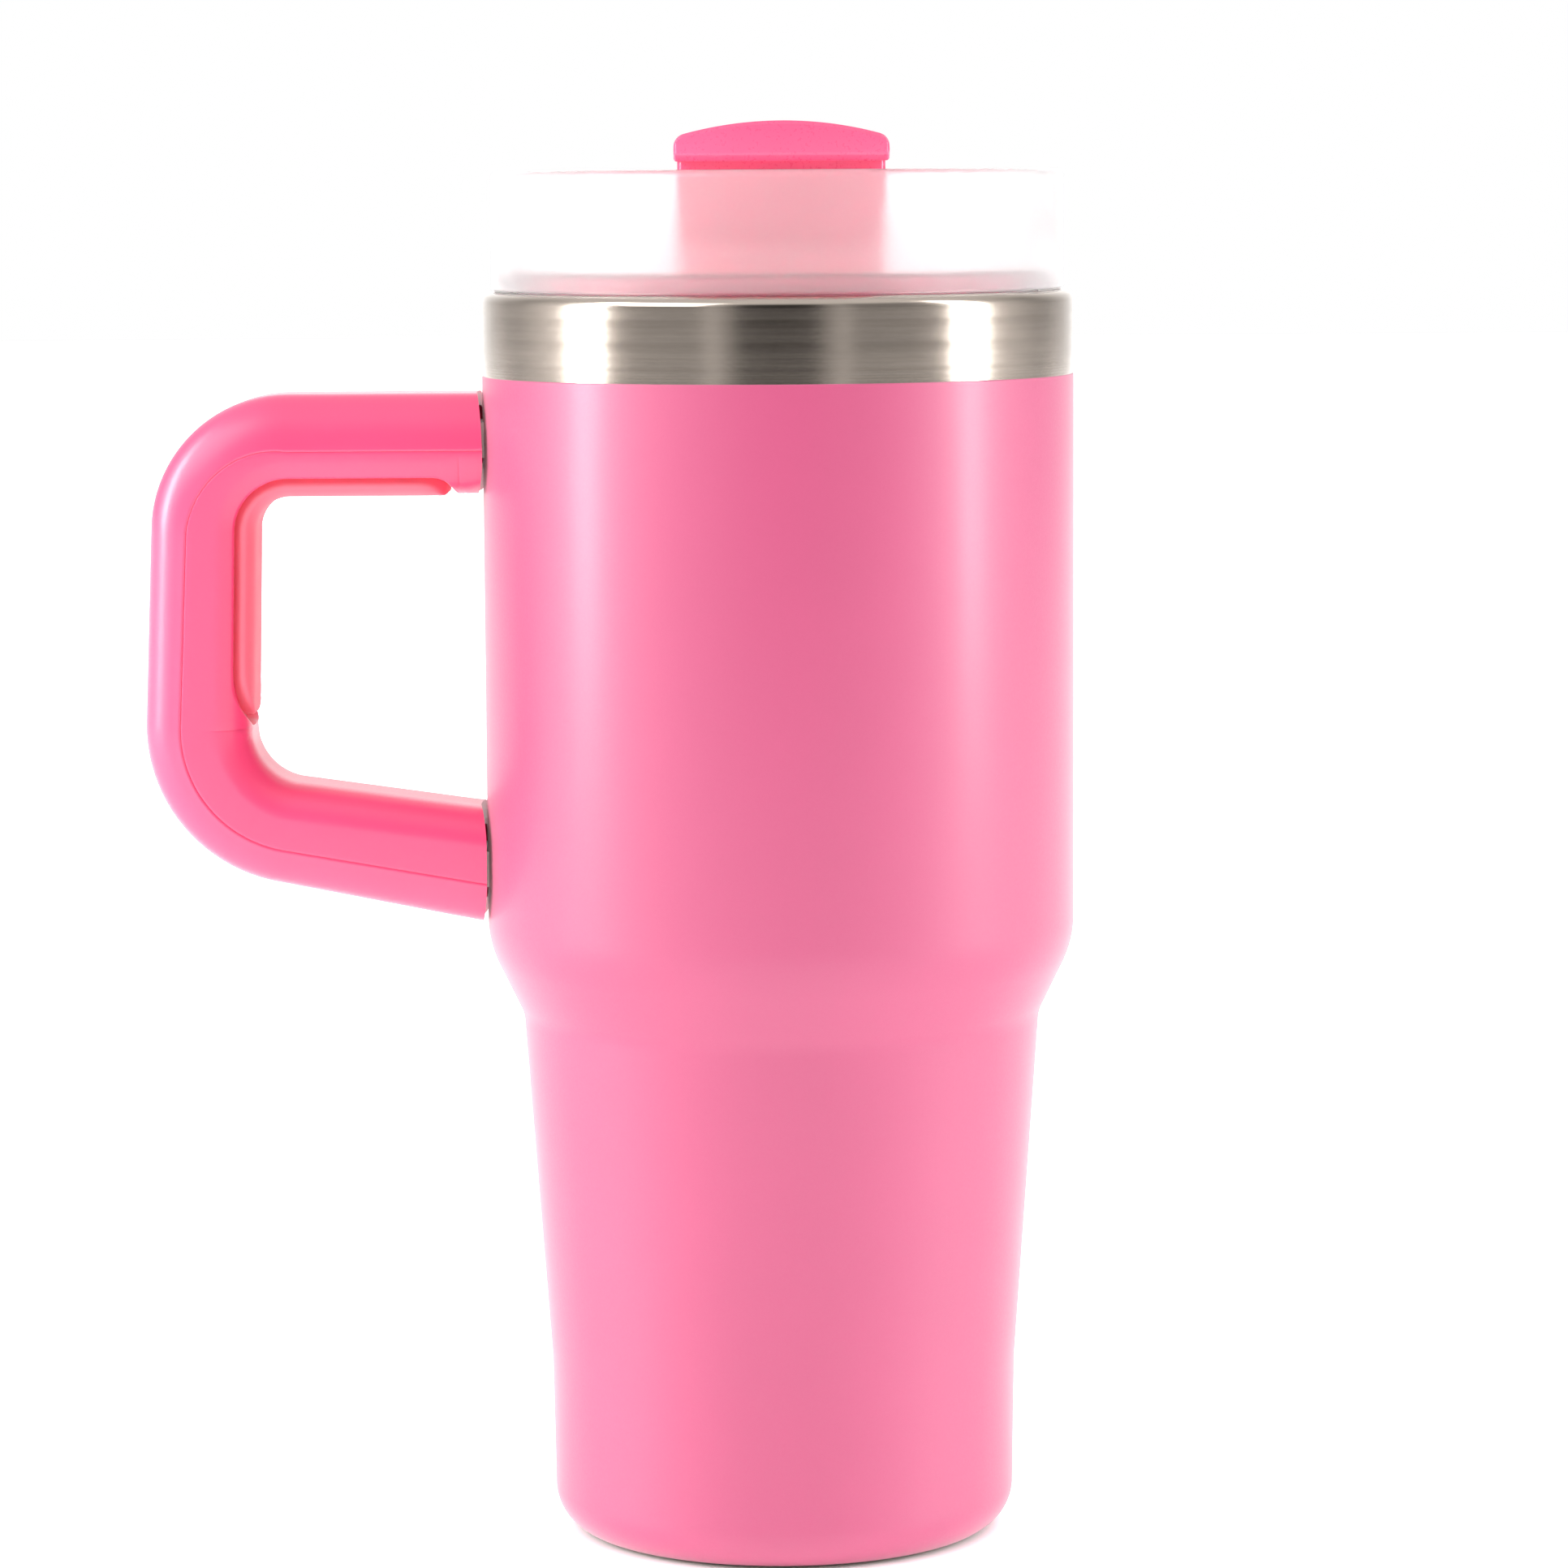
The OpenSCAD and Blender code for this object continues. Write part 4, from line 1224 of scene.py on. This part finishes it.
class TUMBLER_OT_gasket(bpy.types.Operator):
    """Builds the lid's sealing ring with its two wiping fins"""

    bl_idname = "tumbler.gasket"
    bl_label = "Lid Gasket"

    def execute(self, context):
        chosen = settings(context)
        lid = LidShape(chosen)
        low, high = lid.rim_z - 4.4, lid.rim_z - 1
        mid = (low + high) / 2
        root, fin, tip = lid.skirt_r - 0.72, lid.mouth_r - 1, lid.mouth_r - 0.1
        outline = filleted([
            (root, low, 0.15), (fin, low, 0.1), (tip, low + 0.5, 0.14), (tip, low + 0.8, 0.14),
            (fin, mid - 0.3, 0.12), (fin, mid + 0.3, 0.12), (tip, high - 0.8, 0.14),
            (tip, high - 0.5, 0.14), (fin, high, 0.1), (root, high, 0.15)], 4)
        ring = revolved("lid_gasket_ring", outline, 192)
        finish_piece(ring, "gasket", ["lid_gasket"],
                     silicone_finish("gasket_silicone_finish", chosen.colours.silicone))
        return {"FINISHED"}


class TUMBLER_OT_lid(bpy.types.Operator):
    """Builds the frosted lid body: collar, deck with its openings, threaded skirt"""

    bl_idname = "tumbler.lid"
    bl_label = "Lid Body"

    def execute(self, context):
        chosen = settings(context)
        lid = LidShape(chosen)
        body = revolved("frosted_lid_body", lid.body_outline(), 216)
        pitch = lid.s.thread_lead / lid.s.thread_starts
        for ridge in thread_ridges(lid.s, lid.skirt_r - 0.3, lid.skirt_r + 1.2,
                                   lid.thread_z - pitch / 2):
            combine(body, ridge, "UNION")
        turn = lid.s.closed_turn
        under, deck = lid.deck_z - lid.s.deck_t, lid.deck_z
        slot, seat = lid.slot_outline(lid.slot_half), lid.slot_outline(lid.seat_half)
        straw = circle_outline(lid.straw_mid, lid.straw_r)
        flange = circle_outline(lid.straw_mid, lid.flange_r)
        vent = circle_outline(lid.vent_mid, lid.vent_r, 32)
        through, seat_z, flange_z = under - 2, deck - lid.seat_depth, deck - lid.flange_depth
        for outline, at, start in (
                (slot, 90, through), (vent, 90, through), (straw, lid.straw_turn, through),
                (seat, 90, seat_z), (flange, lid.straw_turn, flange_z)):
            combine(body, plate_cutter(turned(outline, at + turn), start, deck, 0.15),
                    "DIFFERENCE")
        sharpen(body, 38)
        finish_piece(body, "lid", ["lid_body"], frosted_finish(chosen.colours))
        return {"FINISHED"}


class TUMBLER_OT_seals(bpy.types.Operator):
    """Finishes the seals of the drink slot, the straw hole and the hub"""

    bl_idname = "tumbler.seals"
    bl_label = "Lid Seals"

    def execute(self, context):
        milky = silicone_finish("seal_silicone_finish", settings(context).colours.silicone)
        finish_nodes(["slot_seal", "straw_seal"], milky)
        finish_nodes(["hub_seal"], silicone_finish(
            "hub_seal_finish", (0.05, 0.05, 0.052), 0.5, 0.0))
        return {"FINISHED"}


class TUMBLER_OT_cover(bpy.types.Operator):
    """Builds the rotary cover with its window and thumb tab"""

    bl_idname = "tumbler.cover"
    bl_label = "Rotary Cover"

    def tab_post(self, lid):
        half = lid.s.tab_w / 2 - 0.5
        bottom, top = lid.cover_z + 0.6, lid.lip_z + 2
        front = [(bottom, lid.tab_knee_r, 0), (lid.tab_knee_z, lid.tab_knee_r, 4),
                 (lid.tab_front_z, lid.tab_r, 4), (top, lid.tab_r, 0)]

        def profile(x, end, _):
            back = -lid.tab_back - end
            ahead = [(-math.sqrt((r - end) ** 2 - x * x), z, rounding) for z, r, rounding in front]
            return filleted([(back, bottom, 0), *ahead, (back, top, 0)], 6)

        return lofted("tab_post", tab_rings(half, profile, 0.7, 0.7), 40)

    def tab_lip(self, lid):
        half = lid.s.tab_w / 2
        arch = lid.s.tab_arch
        arch_r = (half * half + arch * arch) / (2 * arch)

        def profile(x, end, crown):
            top = lid.tab_top - arch_r + math.sqrt(arch_r ** 2 - x * x) - crown
            front = -math.sqrt((lid.lip_r - end) ** 2 - x * x)
            back = -lid.tab_back - end
            return filleted([
                (back, lid.lip_z + end, 0.5), (front + 0.9, lid.lip_z + end, 0.35),
                (front, lid.lip_z + 0.9 + end, 0.6), (front, top - 0.5, 0),
                (front + 0.55, top, 0), (back - 0.4, top, 0), (back, top - 0.6, 0)], 5)

        return lofted("tab_lip", tab_rings(half, profile, 0.5, 1.3), 40)

    def execute(self, context):
        chosen = settings(context)
        lid = LidShape(chosen)
        r, low, top = lid.s.cover_r, lid.cover_z, lid.cover_top
        hub_top = lid.hub_z + lid.hub_h
        disc = revolved("rotary_cover_shell", filleted([
            (lid.hub_bore, lid.hub_z, 0.1), (lid.hub_r, lid.hub_z, 0.3), (lid.hub_r, low, 0.2),
            (r, low, 0.5), (r, top + 1, 0.45), (r - 1.1, top + 1, 0.45), (r - 2, top, 0.5),
            (13, top, 1), (11, top + 1, 0.8), (9, top + 1.3, 0.6), (0, top + 1.3, 0),
            (0, hub_top, 0), (lid.hub_bore, hub_top, 0.1)], 5), 200)
        tab = combine(self.tab_lip(lid), self.tab_post(lid), "UNION")
        tab.data.transform(Matrix.Rotation(math.radians(lid.s.closed_turn), 4, "Z"))
        cover = combine(disc, tab, "UNION")
        window = turned(lid.window_outline(), lid.window_turn + lid.s.closed_turn)
        combine(cover, plate_cutter(window, low - 2, top, 0.5, low, 0.4), "DIFFERENCE")
        sharpen(cover, 34)
        finish_piece(cover, "cover", ["rotary_cover"], moulded_finish(
            "cover_plastic_finish", chosen.colours.cover, 0.3, 0.06, 0.03,
            Coat_Weight=0.3, Coat_Roughness=0.15))
        return {"FINISHED"}


class TUMBLER_OT_pivot(bpy.types.Operator):
    """Finishes the pivot washer and screw under the lid"""

    bl_idname = "tumbler.pivot"
    bl_label = "Cover Pivot"

    def execute(self, context):
        finish_nodes(["pivot_washer", "pivot_screw"],
                     turned_steel_finish("pivot_steel_finish", (0.6, 0.59, 0.57), 0.28, 1.2, 0.4))
        return {"FINISHED"}


class TUMBLER_OT_stage(bpy.types.Operator):
    """Sets the pale floor, the soft studio light and the camera"""

    bl_idname = "tumbler.stage"
    bl_label = "Studio Stage"

    def floor(self, scene):
        """A pale glowing floor, clear from below, with a painted contact shadow: its glow fades to
        dark where the foot stands.
        """
        half, below = 6.0, -5e-5
        mesh = bpy.data.meshes.new("pale_floor")
        mesh.from_pydata([(-half, -half, below), (half, -half, below), (half, half, below),
                          (-half, half, below)], [], [(0, 1, 2, 3)])
        floor = bpy.data.objects.new("pale_floor", mesh)
        scene.collection.objects.link(floor)
        material = bpy.data.materials.new("pale_floor_finish")
        material.use_nodes = True
        wiring = Wiring(material.node_tree)
        shader = wiring.tree.nodes["Principled BSDF"]
        shader.inputs["Base Color"].default_value = (0.84, 0.83, 0.83, 1)
        shader.inputs["Roughness"].default_value = 0.8
        shader.inputs["Emission Color"].default_value = (1, 1, 1, 1)
        rays = wiring.node("ShaderNodeLightPath")
        glow = wiring.maths("MULTIPLY_ADD", rays.outputs["Is Camera Ray"], 0.08, 0.67)
        away = wiring.node("ShaderNodeVectorMath", operation="LENGTH")
        wiring.link(wiring.node("ShaderNodeTexCoord").outputs["Object"], away.inputs[0])
        # Painted contact shadow: the floor's glow is zero within 28 mm of the axis and rises to full
        # by 33.5 mm, darkening the floor under and round the foot.
        painted_contact_shadow = wiring.mapped(away.outputs["Value"], 0.028, 0.0335, 0, 1, "SMOOTHSTEP")
        wiring.link(wiring.maths("MULTIPLY", glow, painted_contact_shadow), shader.inputs["Emission Strength"])
        mixed = wiring.node("ShaderNodeMixShader")
        wiring.link(wiring.node("ShaderNodeNewGeometry").outputs["Backfacing"], mixed.inputs[0])
        wiring.link(shader.outputs[0], mixed.inputs[1])
        wiring.link(wiring.node("ShaderNodeBsdfTransparent").outputs[0], mixed.inputs[2])
        wiring.link(mixed.outputs[0], wiring.tree.nodes["Material Output"].inputs["Surface"])
        mesh.materials.append(material)

    def light_tent(self, scene):
        """Soft light all round: pairs of (degrees from the camera's side, brightness)."""
        walls = [(0, 0.04), (14, 0.05), (19, 0.30), (25, 0.6), (31, 0.29), (55, 0.28), (73, 0.38),
                 (76.5, 24), (82.5, 24), (86.5, 0.9), (104, 0.65), (120, 0.42), (130, 0.44),
                 (146, 0.75), (160, 1.1), (180, 1.6)]
        brightest, overhead, left_share = 24.0, 0.85, -0.08
        world = bpy.data.worlds.new("light_tent")
        scene.world = world
        world.use_nodes = True
        wiring = Wiring(world.node_tree)
        wiring.tree.nodes.clear()
        apart = wiring.node("ShaderNodeSeparateXYZ")
        wiring.link(wiring.node("ShaderNodeTexCoord").outputs["Generated"], apart.inputs[0])
        x, y, z = apart.outputs
        around = wiring.maths("ARCTAN2", x, wiring.maths("MULTIPLY", y, -1))
        azimuth = wiring.maths("DIVIDE", wiring.maths("ABSOLUTE", around), math.pi)
        ramp = wiring.node("ShaderNodeValToRGB")
        elements = ramp.color_ramp.elements
        while len(elements) < len(walls):
            elements.new(0.5)
        for element, (degrees, light) in zip(elements, walls):
            element.position = degrees / 180
            element.color = (light / brightest,) * 3 + (1,)
        wiring.link(azimuth, ramp.inputs["Fac"])
        left = wiring.maths("MULTIPLY_ADD", x, left_share, 1)
        side = wiring.maths(
            "MULTIPLY", wiring.maths("MULTIPLY", ramp.outputs["Color"], brightest), left)
        above = wiring.mapped(z, 0.45, 0.8, 0, 1, "SMOOTHSTEP")
        side = wiring.maths("MULTIPLY", side, wiring.maths("SUBTRACT", 1, above))
        light = wiring.maths("MULTIPLY_ADD", above, overhead, side)
        seen = wiring.node("ShaderNodeLightPath").outputs["Is Camera Ray"]
        strength = wiring.node("ShaderNodeMix", data_type="FLOAT")
        for socket, value in zip(strength.inputs[:1] + strength.inputs[2:4], (seen, light, 1)):
            wiring.feed(socket, value)
        background = wiring.node("ShaderNodeBackground")
        background.inputs["Color"].default_value = (1, 1, 1, 1)
        wiring.link(strength.outputs[0], background.inputs["Strength"])
        wiring.link(background.outputs[0], wiring.node("ShaderNodeOutputWorld").inputs["Surface"])

    def key_light(self, scene):
        data = bpy.data.lights.new("soft_key", "AREA")
        data.shape = "RECTANGLE"
        data.size, data.size_y = 0.7, 0.7
        data.energy = 4.0
        key = bpy.data.objects.new("soft_key", data)
        key.location = (-0.75, -0.7, 0.85)
        key.rotation_mode = "QUATERNION"
        aim = Vector((0, 0, 0.1)) - key.location
        key.rotation_quaternion = aim.to_track_quat("-Z", "Y")
        scene.collection.objects.link(key)

    def camera(self, scene):
        """The camera's focal length in image widths, its place in millimetres and its tilt."""
        image_width, focal = 1932, 6638
        data = bpy.data.cameras.new("front_view")
        data.sensor_width = 36
        data.lens = data.sensor_width * focal / image_width
        data.clip_start, data.clip_end = 0.05, 20
        camera = bpy.data.objects.new("front_view", data)
        scene.collection.objects.link(camera)
        down, roll = math.radians(6.37), math.radians(-0.334)
        right0 = Vector((1, 0, 0))
        up0 = Vector((0, math.sin(down), math.cos(down)))
        ahead = Vector((0, math.cos(down), -math.sin(down)))
        right = math.cos(roll) * right0 + math.sin(roll) * up0
        up = math.cos(roll) * up0 - math.sin(roll) * right0
        turn = Matrix((right, up, -ahead)).transposed()
        camera.matrix_world = Matrix.Translation(
            Vector((0.53, -767.7, 193.2)) * MM) @ turn.to_4x4()
        scene.camera = camera

    def execute(self, context):
        scene = context.scene
        self.floor(scene)
        self.light_tent(scene)
        self.key_light(scene)
        self.camera(scene)
        scene.view_settings.view_transform = "Standard"
        scene.view_settings.look = "None"
        return {"FINISHED"}


# ---- registration and the run ----

GROUPS = (TumblerBodySizes, TumblerHandleSizes, TumblerLidSizes, TumblerColours, TumblerSettings)
PIECES = (TUMBLER_OT_coated_shell, TUMBLER_OT_liner, TUMBLER_OT_base, TUMBLER_OT_handle,
          TUMBLER_OT_inlay, TUMBLER_OT_fixings, TUMBLER_OT_gasket, TUMBLER_OT_lid,
          TUMBLER_OT_seals, TUMBLER_OT_cover, TUMBLER_OT_pivot, TUMBLER_OT_stage)


class TUMBLER_PT_sidebar(bpy.types.Panel):
    """Lists the steps that build the tumbler and its main settings"""

    bl_idname = "TUMBLER_PT_sidebar"
    bl_label = "Insulated Tumbler"
    bl_space_type = "VIEW_3D"
    bl_region_type = "UI"
    bl_category = "Tumbler"

    def draw(self, context):
        layout = self.layout
        for piece in PIECES:
            layout.operator(piece.bl_idname, text=piece.bl_label)
        chosen = settings(context)
        for group in (chosen.body, chosen.handle, chosen.lid, chosen.colours):
            box = layout.box()
            for name in group.__annotations__:
                box.prop(group, name)


CLASSES = GROUPS + PIECES + (TUMBLER_PT_sidebar,)


def register():
    for cls in CLASSES:
        bpy.utils.register_class(cls)
    bpy.types.Scene.tumbler = bpy.props.PointerProperty(
        type=TumblerSettings, name="Tumbler", description="Settings of the tumbler")


def unregister():
    del bpy.types.Scene.tumbler
    for cls in reversed(CLASSES):
        bpy.utils.unregister_class(cls)


def main():
    register()
    for piece in PIECES:
        group, name = piece.bl_idname.split(".")
        result = getattr(getattr(bpy.ops, group), name)()
        if "FINISHED" not in result:
            raise RuntimeError(f"{piece.bl_label} was not finished")


if __name__ == "__main__":
    main()
